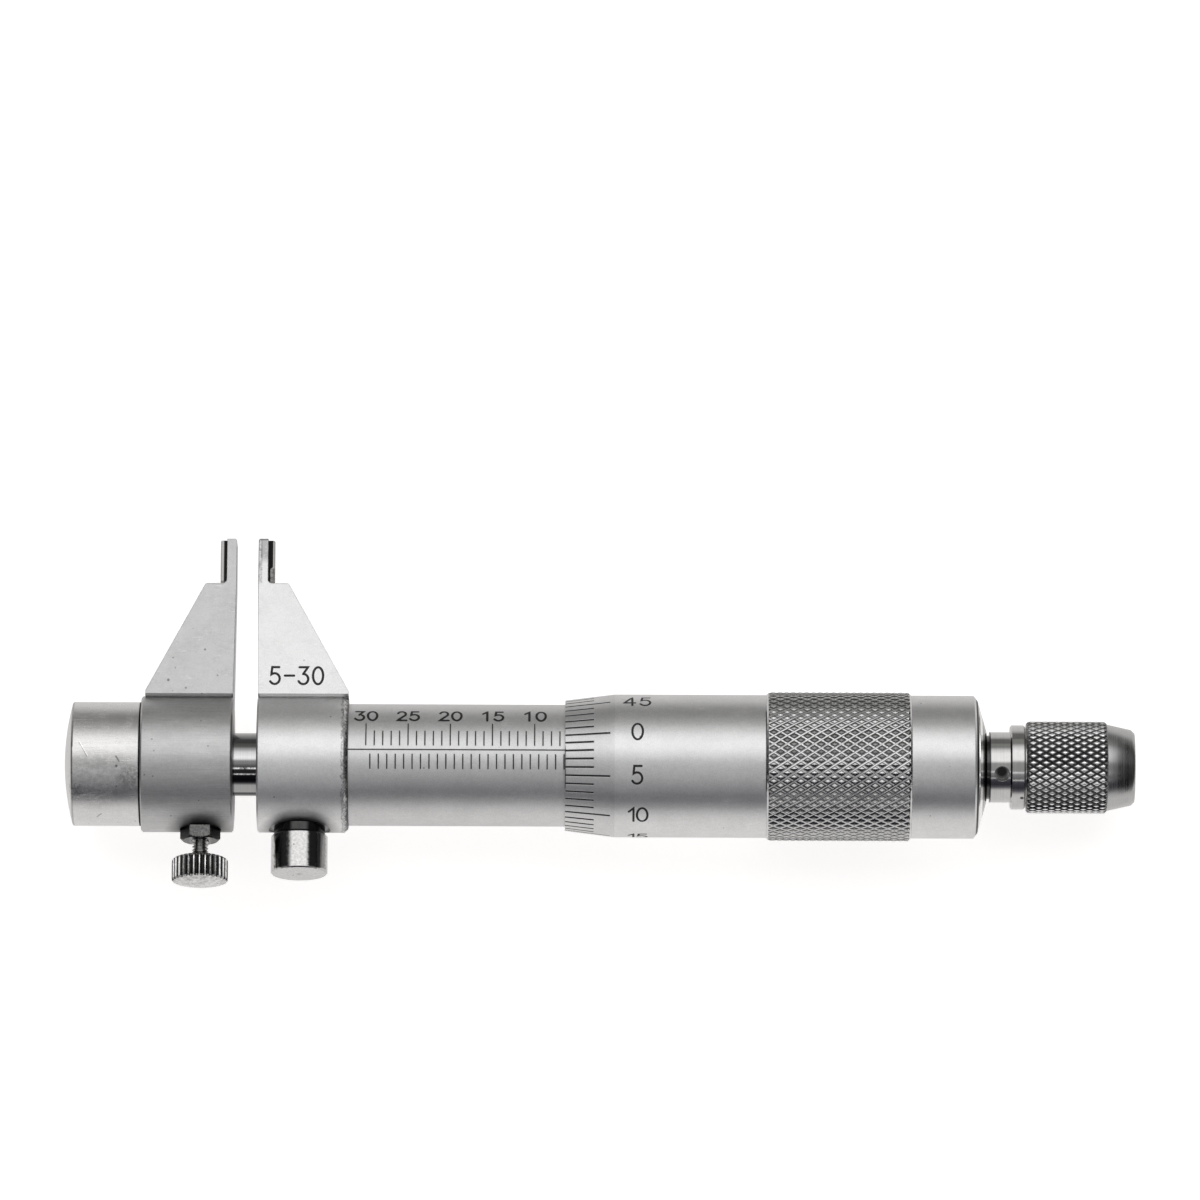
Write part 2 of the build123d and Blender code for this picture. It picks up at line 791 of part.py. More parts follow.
hub_radius = thimble_bore / 2 - seat
hub_outline = [
    (hub_start, cone_large + seat),
    (cone_end, cone_small + seat),
    (hub_end, cone_small + seat),
    (hub_end, hub_end_dia / 2),
    (hub_slope_start, hub_radius),
    (hub_start, hub_radius),
]
with BuildPart() as thimble_hub:
    revolve(outline(hub_outline), axis=Axis.X)
thimble_hub.part.label = "thimble_hub"

# Ratchet body: neck, collar with the spanner hole, flange, land with face teeth and stem

body_start = hub_end + seat
body_outline = [
    (body_start, stub_dia / 2 + seat),
    (cone_end + stub_length + seat, stub_dia / 2 + seat),
    (cone_end + stub_length + seat, 0),
    (stem_end, 0),
    (stem_end, stem_dia / 2),
    (land_end, stem_dia / 2),
    (land_end, knob_bore / 2 - running),
    (land_start, knob_bore / 2 - running),
    (land_start, flange_dia / 2 - flange_edge),
    (land_start - flange_edge, flange_dia / 2),
    (hub_end + flange_start + flange_edge, flange_dia / 2),
    (hub_end + flange_start, flange_dia / 2 - flange_edge),
    (hub_end + flange_start, collar_dia / 2),
    (hub_end + collar_start, collar_dia / 2),
    (hub_end + collar_start, neck_dia / 2),
    (body_start, neck_dia / 2),
]
saw_tooth = [
    (-tooth_root, -tooth_width / 2),
    (0, -tooth_width / 2),
    (tooth_height, tooth_width / 2),
    (-tooth_root, tooth_width / 2),
]
tooth_angles = [k * 360 / tooth_count for k in range(tooth_count)]
hole_mouth = facing_out(hub_end + spanner_hole_x, collar_dia / 2, spanner_hole_angle)
with BuildPart() as ratchet_body:
    revolve(outline(body_outline), axis=Axis.X)
    with BuildSketch(*[facing_out(land_end, tooth_inner, a) for a in tooth_angles]):
        with BuildLine():
            Polyline(*saw_tooth, close=True)
        make_face()
    extrude(amount=tooth_outer - tooth_inner)
    with BuildSketch(hole_mouth):
        Circle(spanner_hole_dia / 2)
    extrude(amount=-spanner_hole_depth, mode=Mode.SUBTRACT)
    revolve(
        band(stem_end - end_screw_length - seat, stem_end + overcut, 0, end_screw_dia + 2 * seat),
        axis=Axis.X,
        mode=Mode.SUBTRACT,
    )
ratchet_body.part.label = "ratchet_body"

# Ratchet knob: bore for the ring and spring, wall on the stem and recess for the end screw

knob_outline = [
    (knob_start, knob_bore / 2),
    (knob_wall_start, knob_bore / 2),
    (knob_wall_start, stem_dia / 2 + running),
    (knob_wall_end, stem_dia / 2 + running),
    (knob_wall_end, knob_recess_dia / 2),
    (knob_end, knob_recess_dia / 2),
    (knob_end, knob_end_dia / 2 - knob_end_edge),
    (knob_taper_end, knob_end_dia / 2),
    (knob_knurl_end, knob_taper_dia / 2),
    (knob_knurl_end - knob_edge, knob_dia / 2),
    (knob_start + knob_edge, knob_dia / 2),
    (knob_start, knob_dia / 2 - knob_edge),
]
with BuildPart() as ratchet_knob:
    revolve(outline(knob_outline), axis=Axis.X)
ratchet_knob.part.label = "ratchet_knob"

ring_start = land_end + 2 * tooth_height + running
ring_end = ring_start + ratchet_ring_length
with BuildPart() as ratchet_ring:
    revolve(band(ring_start, ring_end, stem_dia + 2 * running, knob_bore - 2 * seat), axis=Axis.X)
    with BuildSketch(*[facing_out(ring_start, tooth_inner, a) for a in tooth_angles]):
        with BuildLine():
            Polyline(*[(-x, -y) for x, y in saw_tooth], close=True)
        make_face()
    extrude(amount=tooth_outer - tooth_inner)
ratchet_ring.part.label = "ratchet_ring"

coil_start = ring_end + seat + ratchet_spring_wire / 2
coil_end = knob_wall_start - seat - ratchet_spring_wire / 2
with BuildPart() as ratchet_spring:
    with BuildLine() as coil_path:
        Helix(
            pitch=(coil_end - coil_start) / ratchet_spring_turns,
            height=coil_end - coil_start,
            radius=(ratchet_spring_dia - ratchet_spring_wire) / 2,
            center=(coil_start, 0, 0),
            direction=(1, 0, 0),
        )
    with BuildSketch(Plane(origin=coil_path.line @ 0, z_dir=coil_path.line % 0)):
        Circle(ratchet_spring_wire / 2)
    sweep(path=coil_path.line, is_frenet=True)
ratchet_spring.part.label = "ratchet_spring"

screw_head_start = stem_end + seat
screw_head_end = screw_head_start + end_screw_head_length
with BuildPart() as end_screw:
    revolve(band(screw_head_start, screw_head_end, 0, end_screw_head_dia), axis=Axis.X)
    revolve(band(stem_end - end_screw_length, screw_head_start, 0, end_screw_dia), axis=Axis.X)
    with Locations((screw_head_end, 0, 0)):
        Box(2 * end_screw_slot, end_screw_slot, end_screw_head_dia, mode=Mode.SUBTRACT)
end_screw.part.label = "end_screw"

# Rest on a table: the knurl and the back corner of the jaw tips touch it

rest_height = max(knurl_dia, thimble_dia, ring_dia) / 2
half_tip = blade_tip_thickness / 2
roll = degrees(asin(rest_height / hypot(blade_tip, half_tip)) - atan2(half_tip, blade_tip))
rolled = Location((0, 0, 0), (-roll, 0, 0))

pieces = [
    fixed_jaw, fixed_tip, sleeve, inner_barrel, adjusting_nut, key_plug, key_spring, guide_key,
    moving_jaw, moving_tip, guide_tube, end_cap, thrust_bush, lock_bush,
    measuring_screw, bearing_nut, thimble, thimble_hub, ratchet_body, end_screw,
    ratchet_knob, ratchet_ring, ratchet_spring,
    lock_pad, lock_screw,
]
extent = Compound([piece.part.moved(rolled) for piece in pieces]).bounding_box()
centre = extent.center()
rest = Location((-centre.X, -centre.Y, -extent.min.Z)) * rolled

for piece in pieces:
    name = piece.part.label
    piece.part.move(rest)
    piece.part.label = name
    export_step(piece.part, f"parts/{name}.step")
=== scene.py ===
"""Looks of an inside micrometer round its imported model: finishes, knurls, thread, numerals, light and camera.

Shapes are worked out in millimetres in the instrument's own frame and then laid into the model: +X runs
along the spindle from the inner face of the fixed finger to the ratchet, +Y points to the jaw tips and +Z out
of the front faces of the blades. Angles round the spindle are in degrees from +Z towards +Y.
"""

import json
from math import atan2, cos, degrees, hypot, pi, radians, sin

import bpy
from mathutils import Matrix, Vector


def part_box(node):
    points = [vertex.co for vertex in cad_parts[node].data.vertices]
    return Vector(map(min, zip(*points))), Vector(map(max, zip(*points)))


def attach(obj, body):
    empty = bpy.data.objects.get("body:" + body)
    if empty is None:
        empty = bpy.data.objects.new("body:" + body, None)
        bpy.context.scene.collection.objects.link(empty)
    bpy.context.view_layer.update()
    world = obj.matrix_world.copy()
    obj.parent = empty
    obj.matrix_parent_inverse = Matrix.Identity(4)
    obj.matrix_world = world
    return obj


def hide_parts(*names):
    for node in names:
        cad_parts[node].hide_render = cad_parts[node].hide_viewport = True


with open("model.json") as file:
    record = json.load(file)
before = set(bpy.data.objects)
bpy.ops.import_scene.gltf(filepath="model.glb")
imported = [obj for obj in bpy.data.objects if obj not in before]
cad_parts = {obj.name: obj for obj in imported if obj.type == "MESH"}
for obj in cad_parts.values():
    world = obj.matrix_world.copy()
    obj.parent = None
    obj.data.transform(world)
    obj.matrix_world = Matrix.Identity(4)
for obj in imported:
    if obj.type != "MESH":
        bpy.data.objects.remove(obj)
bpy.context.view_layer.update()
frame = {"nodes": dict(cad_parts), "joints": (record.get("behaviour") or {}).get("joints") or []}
mm = 0.001

# Photograph: its scale on the upper surfaces, how high they lie, and where its middle looks
photo_pixels = 1200
pixels_per_mm = 8.445
photo_height = 16.1
photo_middle = (-0.02, 13.64)
photo_turn = 0.22
camera_distance = 1400
sensor_width = 36

# Scales
mark_depth = 0.05
mark_30 = 13.12
range_min = 5
range_max = 30
screw_pitch = 0.5
divisions = 50
long_every = 5
division_short = 3.45
division_long = 5.4
division_rim = 0.03
division_width = 0.2

# Numerals: how far the ink stands proud or reaches in, and a digit's width and height between the middles of
# its strokes, the step to the next digit and the share of it that a 1 takes
ink_proud = 0.008
ink_sunk = 0.04
longest_stroke = 0.25
sleeve_digit = {"size": (1.1, 1.73), "step": 1.5, "narrow": 1.0, "stroke": 0.29}
sleeve_digit_arc = 4.95
thimble_digit = {"size": (1.25, 2.12), "step": 1.86, "narrow": 0.62, "stroke": 0.27}
thimble_digit_x = 45.32
thimble_digit_lift = 1.2
blade_digit = {"size": (1.2, 2.15), "step": 1.7, "narrow": 1.0, "stroke": 0.29}
blade_text_middle = (4.75, 10.0)

# Rings and blades of the jaws, with a finger's width, and the slots of the inserts
ring_dia = 16.2
moving_ring_length = 10.9
blade_sink = 0.7
blade_edge = 0.3
blade_tip = 27.5
finger = 1.15
blade_root_thickness = 7.8
blade_tip_thickness = 3.1
slot_end = 24.1
moving_slot = 0.42
fixed_slot = (0.25, 0.57)

# Key plug, with the end of its neck as a depth from the spindle
plug_neck = 8.75
plug_length = 4.6

# Lock bush, with half the width of a facet
bush_facet = 1.25

# Thimble, with the radius of its knurl's tips and the angle from which edges are sharp
thimble_bore = 14.7
thimble_edge_dia = 15.5
thimble_bevel = 5.9
thimble_dia = 17.0
thimble_end_edge = 0.5
thimble_end_dia = 15.6
knurl_start = 23.93
knurl_length = 17.2
knurl_edge = 0.35
knurl_seat_dia = 16.6
knurl_sharp = 20.0
thimble_crest = 8.875

# Knurls: starts round the piece, axial pitch, and the rise from a valley to a tip in eighths of a pitch. The
# feet lie between two shares of the rise.
eighths = 8
knurl_feet = (0.13, 0.5)
thimble_knurl_starts = 55
thimble_knurl_pitch = 1.6
thimble_knurl_rise = (0.0, 0.02, 0.07, 0.125, 0.175)
knob_knurl_starts = 40
knob_knurl_pitch = 1.5
knob_knurl_rise = (0.0, 0.09, 0.175, 0.215, 0.225)

# Ratchet knob
knob_bore = 8.6
knob_knurl_length = 9.6
knob_edge = 0.3
knob_shoulder = 0.02
knob_taper_dia = 10.3
knob_taper_length = 2.9
knob_end_dia = 9.0
knob_end_edge = 0.4
knob_recess_dia = 7.2
knob_recess_depth = 2.05
knob_wall = 2.0
knob_stem_bore = 4.62

# Lock screw, with depths from the spindle
lock_pad_end = 5.06
lock_pitch = 0.4
lock_major = 1.0
lock_minor = 0.76
lock_flank_slope = 2.4
lock_flank_foot = 0.2
lock_neck = 0.5
lock_head_top = 11.5
lock_head_length = 2.9
lock_head_radius = 3.35
lock_head_top_round = (0.9, 0.55)
lock_head_dome = 0.4

# Its rounded end: rows of height and inset in shares of the rounding, and a share of the ridges' depth
lock_head_end_round = 0.25
lock_head_end_rows = [(1.0, 0.0, 1.0), (0.3, 0.3, 0.9), (0.0, 1.0, 0.25)]

# Its ridges, with the rise over one of them, and the angle from which edges are sharp
lock_sharp = 40.0
lock_ridges = 30
lock_ridge_rise = (0.0, 0.0, 0.7, 1.0, 1.0, 0.7)
lock_ridge_depth = 0.28

# Wear. Places on the cap are a distance from its end and an angle. Each mark has a reach, and then a depth
# or, where it is blotchy, the least and most that it darkens and the scale of the blotches. The rough edge of
# the fixed ring has zones by inset and softness, and lines between two distances from the edge.
cap_blotches = [
    ((4.3, -29.0), 4.6, 0.0, 0.2, 1.6),
    ((8.0, -27.0), 1.9, 0.1, 0.45, 2.6),
    ((1.2, -40.0), 1.5, 0.0, 0.4, 2.4),
]
cap_nicks = [((6.35, -7.5), (6.7, -12.0), 0.12, 0.6), ((4.0, -73.0), (4.5, -68.0), 0.1, 0.5)]
cap_pit = ((6.4, -16.5), 0.22, 0.7)
cap_scratch = ((2.05, 6.0), (3.0, -7.0))
# Offset of the painted shadow beside the cap's scratch
cap_scratch_shade = Vector((-0.1, -0.08, 0.0))
blade_nicks = [
    (-10.5, 9.4, 0.22, 0.6), (-6.2, 13.3, 0.18, 0.6), (-8.4, 8.4, 0.18, 0.5), (-4.65, 10.0, 0.15, 0.5)
]
rough_edges = [(0.72, 0.08, 0.0, 0.5, 3.6), (0.3, 0.06, 0.1, 0.72, 4.0)]
edge_lines = [(-0.7, -0.6, 0.3), (-0.14, 0.5, 0.6)]

# Painted reflections as stripes on polished metal: dark on the plug between two shares of its radius, with a
# depth, and dark on the guide tube between two angles, with a softness and a depth, and the angles of its
# painted bright streaks
plug_painted_reflections = [(-0.86, -0.4, 0.72), (0.34, 0.64, 0.78), (0.64, 0.93, 0.5)]
tube_painted_reflections = [(-52.0, -17.0, 4.0, 0.85), (18.0, 52.0, 8.0, 0.45), (-110.0, -77.0, 2.0, 0.97)]
tube_painted_highlights = (-21.5, -32.5)

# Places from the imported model
joints = {joint["name"]: joint for joint in frame["joints"]}
spindle = Vector(joints["thimble_turn"]["pos_m"])
up = Vector(joints["lock_turn"]["axis"])
along = Vector((1, 0, 0))
front = along.cross(up)
roll = atan2(-up.z, up.y)
origin = Vector((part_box("fixed_jaw")[0].x, spindle.y, spindle.z))
lay_down = Matrix.Translation(origin) @ Matrix((along, up, front)).transposed().to_4x4() @ Matrix.Scale(mm, 4)


def span(node):
    """Lowest and highest X of a node, in the instrument's millimetres."""
    low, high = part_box(node)
    return (low.x - origin.x) / mm, (high.x - origin.x) / mm


sleeve_radius = (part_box("sleeve")[1].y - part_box("sleeve")[0].y) / mm / 2
thimble_left, thimble_right = span("thimble")
neck_left = thimble_right + 0.46
neck_right = thimble_right + 1.5
knob_left, knob_right = span("ratchet_knob")
knob_crest = (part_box("ratchet_knob")[1].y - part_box("ratchet_knob")[0].y) / mm / 2
cap_left = span("end_cap")[0]
cap_radius = (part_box("end_cap")[1].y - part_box("end_cap")[0].y) / mm / 2
fixed_ring_right = span("fixed_jaw")[1]
moving_ring_left, moving_finger = span("moving_jaw")
moving_ring_right = moving_ring_left + moving_ring_length
moving_seam = moving_finger - finger
lock_x = (joints["lock_turn"]["pos_m"][0] - origin.x) / mm
plug_left, plug_right = span("key_plug")
plug_x = (plug_left + plug_right) / 2
plug_radius = (plug_right - plug_left) / 2
knurl_left = thimble_left + knurl_start
knurl_right = knurl_left + knurl_length
reading = range_min - joints["jaw_slide"]["range_m"][0] / mm
zero_line = reading % screw_pitch / screw_pitch * 360


def blade_front(y):
    """Height of the front face of a blade over the spindle."""
    low = ring_dia / 2 - blade_sink + blade_edge
    slope = (blade_root_thickness - blade_tip_thickness) / 2 / (blade_tip - low)
    return blade_root_thickness / 2 - slope * (y - low)


def round_spindle(x, radius, angle):
    """Point at a radius and an angle round the spindle."""
    a = radians(angle)
    return (x, radius * sin(a), radius * cos(a))


# Shading

noise_reach = (0.3, 0.7)
bevel_samples = 6


class Graph:
    """Short calls that build a node tree."""

    def __init__(self, tree):
        self.tree = tree

    def feed(self, socket, value):
        if isinstance(value, bpy.types.NodeSocket):
            self.tree.links.new(value, socket)
        else:
            socket.default_value = value

    def add(self, kind, inputs=None, **settings):
        made = self.tree.nodes.new(kind)
        for name, value in settings.items():
            setattr(made, name, value)
        for name, value in (inputs or {}).items():
            self.feed(made.inputs[name], value)
        return made

    def math(self, operation, first, second=0.0, clamp=False):
        values = {0: first, 1: second}
        return self.add("ShaderNodeMath", values, operation=operation, use_clamp=clamp).outputs[0]

    def vector(self, operation, first, second):
        return self.add("ShaderNodeVectorMath", {0: first, 1: second}, operation=operation).outputs

    def span(self, value, low, high, to_low=0.0, to_high=1.0):
        """A value brought from one range to another, and kept inside it."""
        inputs = {"Value": value, "From Min": low, "From Max": high, "To Min": to_low, "To Max": to_high}
        return self.add("ShaderNodeMapRange", inputs).outputs[0]

    def vary(self, noise, low, high):
        """A noise brought from its usual reach to a range."""
        return self.span(noise, *noise_reach, low, high)

    def noise(self, vector, scale, detail, roughness=0.5):
        inputs = {"Vector": vector, "Scale": scale, "Detail": detail, "Roughness": roughness}
        return self.add("ShaderNodeTexNoise", inputs).outputs[0]

    def blend(self, factor, first, second, **settings):
        colours = {0: factor, 6: first, 7: second}
        return self.add("ShaderNodeMix", colours, data_type="RGBA", **settings).outputs[2]

    def shade(self, colour, factor):
        """Colour times a factor that varies over the surface."""
        even = self.add("ShaderNodeCombineColor", {0: factor, 1: factor, 2: factor}).outputs[0]
        return self.blend(1.0, colour, even, blend_type="MULTIPLY")


class Surface(Graph):
    """Material with one main shader, and the instrument's millimetres as its coordinates."""

    def __init__(self, name, roughness, metallic=1.0):
        self.material = bpy.data.materials.new(name)
        self.material.use_nodes = True
        super().__init__(self.material.node_tree)
        self.shader = self.tree.nodes["Principled BSDF"]
        self.shader.inputs["Metallic"].default_value = metallic
        self.shader.inputs["Roughness"].default_value = roughness
        laid = {
            "Vector": self.add("ShaderNodeTexCoord").outputs["Object"],
            "Location": -(Matrix.Rotation(roll, 3, "X") @ origin) / mm,
            "Rotation": (roll, 0, 0),
            "Scale": (1 / mm,) * 3,
        }
        self.place = self.add("ShaderNodeMapping", laid).outputs[0]
        self.x, self.y, self.z = self.add("ShaderNodeSeparateXYZ", {0: self.place}).outputs
        self.radius = self.length(self.y, self.z)
        self.angle = self.math("DEGREES", self.math("ARCTAN2", self.y, self.z))

    def length(self, first, second):
        squares = self.math("ADD", self.math("POWER", first, 2.0), self.math("POWER", second, 2.0))
        return self.math("SQRT", squares)

    def grain(self, scale, roughness, detail=3.0):
        """Noise that is alike in all directions."""
        return self.noise(self.place, scale, detail, roughness)

    def rings(self, scale):
        """Noise that is the same all round the spindle, for turned and brushed surfaces."""
        line = self.add("ShaderNodeCombineXYZ", {0: self.x, 1: self.radius, 2: 0.0}).outputs[0]
        return self.noise(line, scale, 3.0, 0.6)

    def specks(self, scale, size, share):
        """Mask of small round spots, in a share of the cells of a pattern."""
        cells = self.add("ShaderNodeTexVoronoi", {"Vector": self.place, "Scale": scale})
        inside = self.span(cells.outputs["Distance"], size * scale, size * scale * 0.5)
        chance = self.add("ShaderNodeSeparateColor", {0: cells.outputs["Color"]}).outputs[0]
        return self.both(inside, self.math("LESS_THAN", chance, share))

    def scratches(self, turn, scale, share):
        """Mask of thin straight scratches along one direction, in patches."""
        stretched = {"Vector": self.place, "Rotation": turn, "Scale": (0.22, 6.0, 6.0)}
        laid = self.add("ShaderNodeMapping", stretched)
        lines = self.noise(laid.outputs[0], scale, 1.0, 0.4)
        thin = self.span(self.math("ABSOLUTE", self.math("SUBTRACT", lines, 0.5)), 0.012, 0.0)
        patches = self.span(self.grain(0.35, 0.5, 1.0), 1.0 - share, 1.04 - share)
        return self.both(thin, patches)

    def near(self, centre, reach):
        """Mask that fades from a place in the instrument's millimetres to nothing at a reach."""
        apart = self.vector("DISTANCE", self.place, centre)["Value"]
        return self.span(apart, reach, reach * 0.45)

    def line(self, start, end, reach):
        """Mask of a straight line between two places, with the distance at which it ends on both sides."""
        way = end - start
        gone = self.vector("SUBTRACT", self.place, start)[0]
        share = self.vector("DOT_PRODUCT", gone, way / way.length_squared)["Value"]
        along_way = {0: way, "Scale": self.span(share, 0.0, 1.0)}
        nearest = self.add("ShaderNodeVectorMath", along_way, operation="SCALE").outputs[0]
        apart = self.vector("DISTANCE", gone, nearest)["Value"]
        return self.span(apart, reach, reach * 0.5)

    def within(self, value, low, high, soft=0.04):
        """Mask of a range of a value, with soft limits."""
        return self.both(self.span(value, low - soft, low + soft), self.span(value, high + soft, high - soft))

    def both(self, first, second):
        """Mask of where two masks overlap."""
        return self.math("MULTIPLY", first, second)

    def ring(self):
        """Mask of the ring of a jaw, without the blade that stands on it."""
        return self.span(self.radius, ring_dia / 2 + 0.2, ring_dia / 2 + 0.1)

    def darken(self, shine, mask, depth):
        return self.math("MULTIPLY", shine, self.math("SUBTRACT", 1.0, self.math("MULTIPLY", mask, depth)))

    def lighten(self, shine, mask, amount):
        return self.math("ADD", shine, self.math("MULTIPLY", mask, amount))

    def soil(self, shine, shade_and_pits, bands):
        """Darkens round places, by reach and depth, and bands between two X, some only between two Y."""
        # Round places are painted shade round raised parts and in holes, or pits
        for centre, reach, depth in shade_and_pits:
            shine = self.darken(shine, self.near(centre, reach), depth)
        for low, high, depth, *heights in bands:
            mask = self.within(self.x, low, high)
            if heights:
                mask = self.both(mask, self.within(self.y, *heights, 0.3))
            shine = self.darken(shine, mask, depth)
        return shine

    def spread(self, shine, mask, low, high, scale, share=0.5):
        """Darkens a mask in blotches: nowhere by less than low and nowhere by more than high."""
        blotches = self.grain(scale, 0.75, 4.0)
        depth = self.span(blotches, 1.0 - share - 0.08, 1.08 - share, low, high)
        return self.darken(shine, mask, depth)

    def finish(self, colour, roughness, height=None, relief=0.0, edge=0.0):
        """Connects what varies: colour, roughness, and a height with its relief in millimetres."""
        self.feed(self.shader.inputs["Base Color"], colour)
        self.feed(self.shader.inputs["Roughness"], roughness)
        normal = None
        if edge:
            normal = self.add("ShaderNodeBevel", {"Radius": edge * mm}, samples=bevel_samples).outputs[0]
        if height is not None:
            bump = {"Distance": relief * mm, "Height": height}
            if normal is not None:
                bump["Normal"] = normal
            normal = self.add("ShaderNodeBump", bump).outputs[0]
        if normal is not None:
            self.feed(self.shader.inputs["Normal"], normal)
        return self.material


def grey(value, warmth=0.0):
    """Opaque grey, a little warmer or cooler."""
    return (value * (1 + warmth), value, value * (1 - warmth), 1.0)


def satin(name, tone, warmth=0.0, wear=0.3, roughness=0.45, shade_and_pits=(), bands=(), local=None):
    """Satin plated steel with a blasted grain, specks, light scratches and painted shade in its corners."""
    look = Surface(name, roughness)
    grain = look.grain(6.5, 0.65)
    cloud = look.grain(0.3, 0.55)
    spots = look.grain(1.7, 0.6)
    shine = look.math("ADD", look.vary(grain, 0.9, 1.08), look.vary(cloud, -0.035, 0.035))
    shine = look.math("ADD", shine, look.vary(spots, -0.03, 0.03))
    dark = look.specks(0.9, 0.14, 0.3 * wear)
    light = look.specks(1.3, 0.08, 0.3 * wear)
    share = 0.28 * wear + 0.3
    one, two = look.scratches((0.3, 0.5, 0.6), 0.9, share), look.scratches((1.1, 0.2, -0.9), 0.8, share)
    lines = look.math("ADD", one, two, clamp=True)
    for mask, change in ((dark, -0.5), (light, 0.12), (lines, 0.14)):
        shine = look.lighten(shine, mask, change)
    if local is not None:
        shine = local(look, shine)
    shine = look.soil(shine, shade_and_pits, bands)
    rough = look.vary(grain, roughness - 0.04, roughness + 0.04)
    rough = look.lighten(rough, lines, -0.1)
    height = look.lighten(grain, lines, -0.6)
    return look.finish(look.shade(grey(tone, warmth), shine), rough, height, 0.006, 0.12)


def polished(name, tone, warmth=0.0, roughness=0.1, turned=0.5, shade_and_pits=(), bands=()):
    """Bright steel with fine turned marks and a few scratches."""
    look = Surface(name, roughness)
    rings = look.rings(9.0)
    cloud = look.grain(0.8, 0.6)
    lines = look.scratches((0.2, 0.1, 0.4), 1.2, 0.4)
    marks = look.vary(rings, 1.0 - 0.16 * turned, 1.0 + 0.1 * turned)
    shine = look.math("ADD", marks, look.vary(cloud, -0.04, 0.04))
    shine = look.lighten(shine, lines, 0.1)
    shine = look.soil(shine, shade_and_pits, bands)
    rough = look.vary(rings, roughness * 0.7, roughness * 1.5)
    return look.finish(look.shade(grey(tone, warmth), shine), rough, rings, 0.0015 * turned, 0.06)


def knurled(name, tone, crest, rises, roughness, valley, foot, flank, tip, tip_start):
    """Knurled steel, its valleys, feet, flanks and tips told apart by their distance from the spindle, each
    darkened as painted shade or lightened as a painted highlight.
    """
    look = Surface(name, roughness)
    rise = look.span(look.radius, crest - max(rises), crest)
    low = look.span(rise, knurl_feet[0], knurl_feet[0] - 0.08)
    high = look.span(rise, tip_start, tip_start + 0.12)
    near_foot = look.within(rise, *knurl_feet, 0.07)
    side = look.math("SUBTRACT", 1.0, look.math("ADD", look.math("ADD", low, high), near_foot), clamp=True)
    grain = look.grain(5.0, 0.6)
    cloud = look.grain(0.5, 0.5, 2.0)
    shine = look.math("ADD", look.vary(grain, 0.9, 1.06), look.vary(cloud, -0.05, 0.05))
    # Painted shade in the valleys, at the feet and on the flanks, and a painted highlight on the tips, by the
    # signed amounts given
    for mask, change in ((low, valley), (near_foot, foot), (side, flank), (high, tip)):
        shine = look.lighten(shine, mask, change)
    rough = look.vary(grain, roughness * 0.8, roughness * 1.3)
    return look.finish(look.shade(grey(tone), shine), rough, grain, 0.0015)


def thumb_screw_finish():
    """Bright screw with painted shade in the grooves between its ridges and a darker thread."""
    look = Surface("thumb_screw_look", 0.18)
    around = look.length(look.math("SUBTRACT", look.x, lock_x), look.z)
    depth = look.math("MULTIPLY", look.y, -1.0)
    bottom = lock_head_top + lock_head_length
    side = look.within(depth, lock_head_top + 0.3, bottom - 0.2, 0.05)
    dome = look.span(depth, bottom - 0.1, bottom + 0.02)
    groove_shade = look.span(around, lock_head_radius - 0.04, lock_head_radius - 0.16)
    thread = look.span(depth, lock_head_top + 0.02, lock_head_top - 0.02)
    grain = look.grain(4.0, 0.6)
    patches = look.grain(1.6, 0.7)
    shine = look.math("MULTIPLY", look.vary(grain, 0.88, 1.08), look.span(patches, 0.35, 0.65, 0.62, 1.15))
    # Painted shade in the grooves of the head
    for mask, darkness in ((look.both(side, groove_shade), 0.97), (thread, 0.5), (dome, 0.2)):
        shine = look.darken(shine, mask, darkness)
    return look.finish(look.shade(grey(0.85, 0.01), shine), look.vary(grain, 0.14, 0.26), grain, 0.002, 0.05)


def ink():
    """Matt black filling of the engraved lines and numerals."""
    look = Surface("scale_ink_look", 0.55, metallic=0.0)
    grain = look.grain(12.0, 0.6, 2.0)
    colour = look.shade(grey(0.014), look.vary(grain, 0.7, 1.6))
    return look.finish(colour, look.vary(grain, 0.45, 0.65))


def carbide():
    """Ground hard metal, with a painted shadow where each insert meets its finger."""
    look = Surface("carbide_look", 0.3)
    grind = look.noise(look.vector("MULTIPLY", look.place, (1.5, 1.5, 14.0))[0], 3.0, 3.0, 0.6)
    shine = look.vary(grind, 0.8, 1.1)
    width = look.span(look.y, slot_end - 0.1, slot_end + 0.1, *fixed_slot)
    # Painted shadow beside each finger, inside the insert's slot
    for apart, limit in (
        (look.math("SUBTRACT", look.x, finger), width),
        (look.math("SUBTRACT", moving_seam, look.x), moving_slot),
    ):
        inside = look.span(look.math("SUBTRACT", apart, limit), 0.05, -0.05)
        seam_shadow = look.both(inside, look.span(apart, -1.0, -0.9))
        shine = look.darken(shine, seam_shadow, 0.97)
    stained = look.both(look.span(look.y, slot_end + 0.1, slot_end - 0.1), look.span(look.x, 0.0, 0.1))
    shine = look.spread(shine, stained, 0.3, 0.75, 2.4)
    corner = look.near((moving_seam - 0.3, 22.4, blade_tip_thickness / 2), 0.75)
    shine = look.spread(shine, corner, 0.5, 1.0, 3.0)
    return look.finish(look.shade(grey(0.42, 0.02), shine), look.vary(grind, 0.26, 0.4), grind, 0.002, 0.05)


def bronze():
    """Turned bearing bronze."""
    look = Surface("bronze_look", 0.3)
    rings = look.rings(6.0)
    colour = look.blend(rings, (0.55, 0.36, 0.16, 1.0), (0.66, 0.46, 0.22, 1.0))
    return look.finish(colour, look.vary(rings, 0.25, 0.42), rings, 0.002, 0.05)


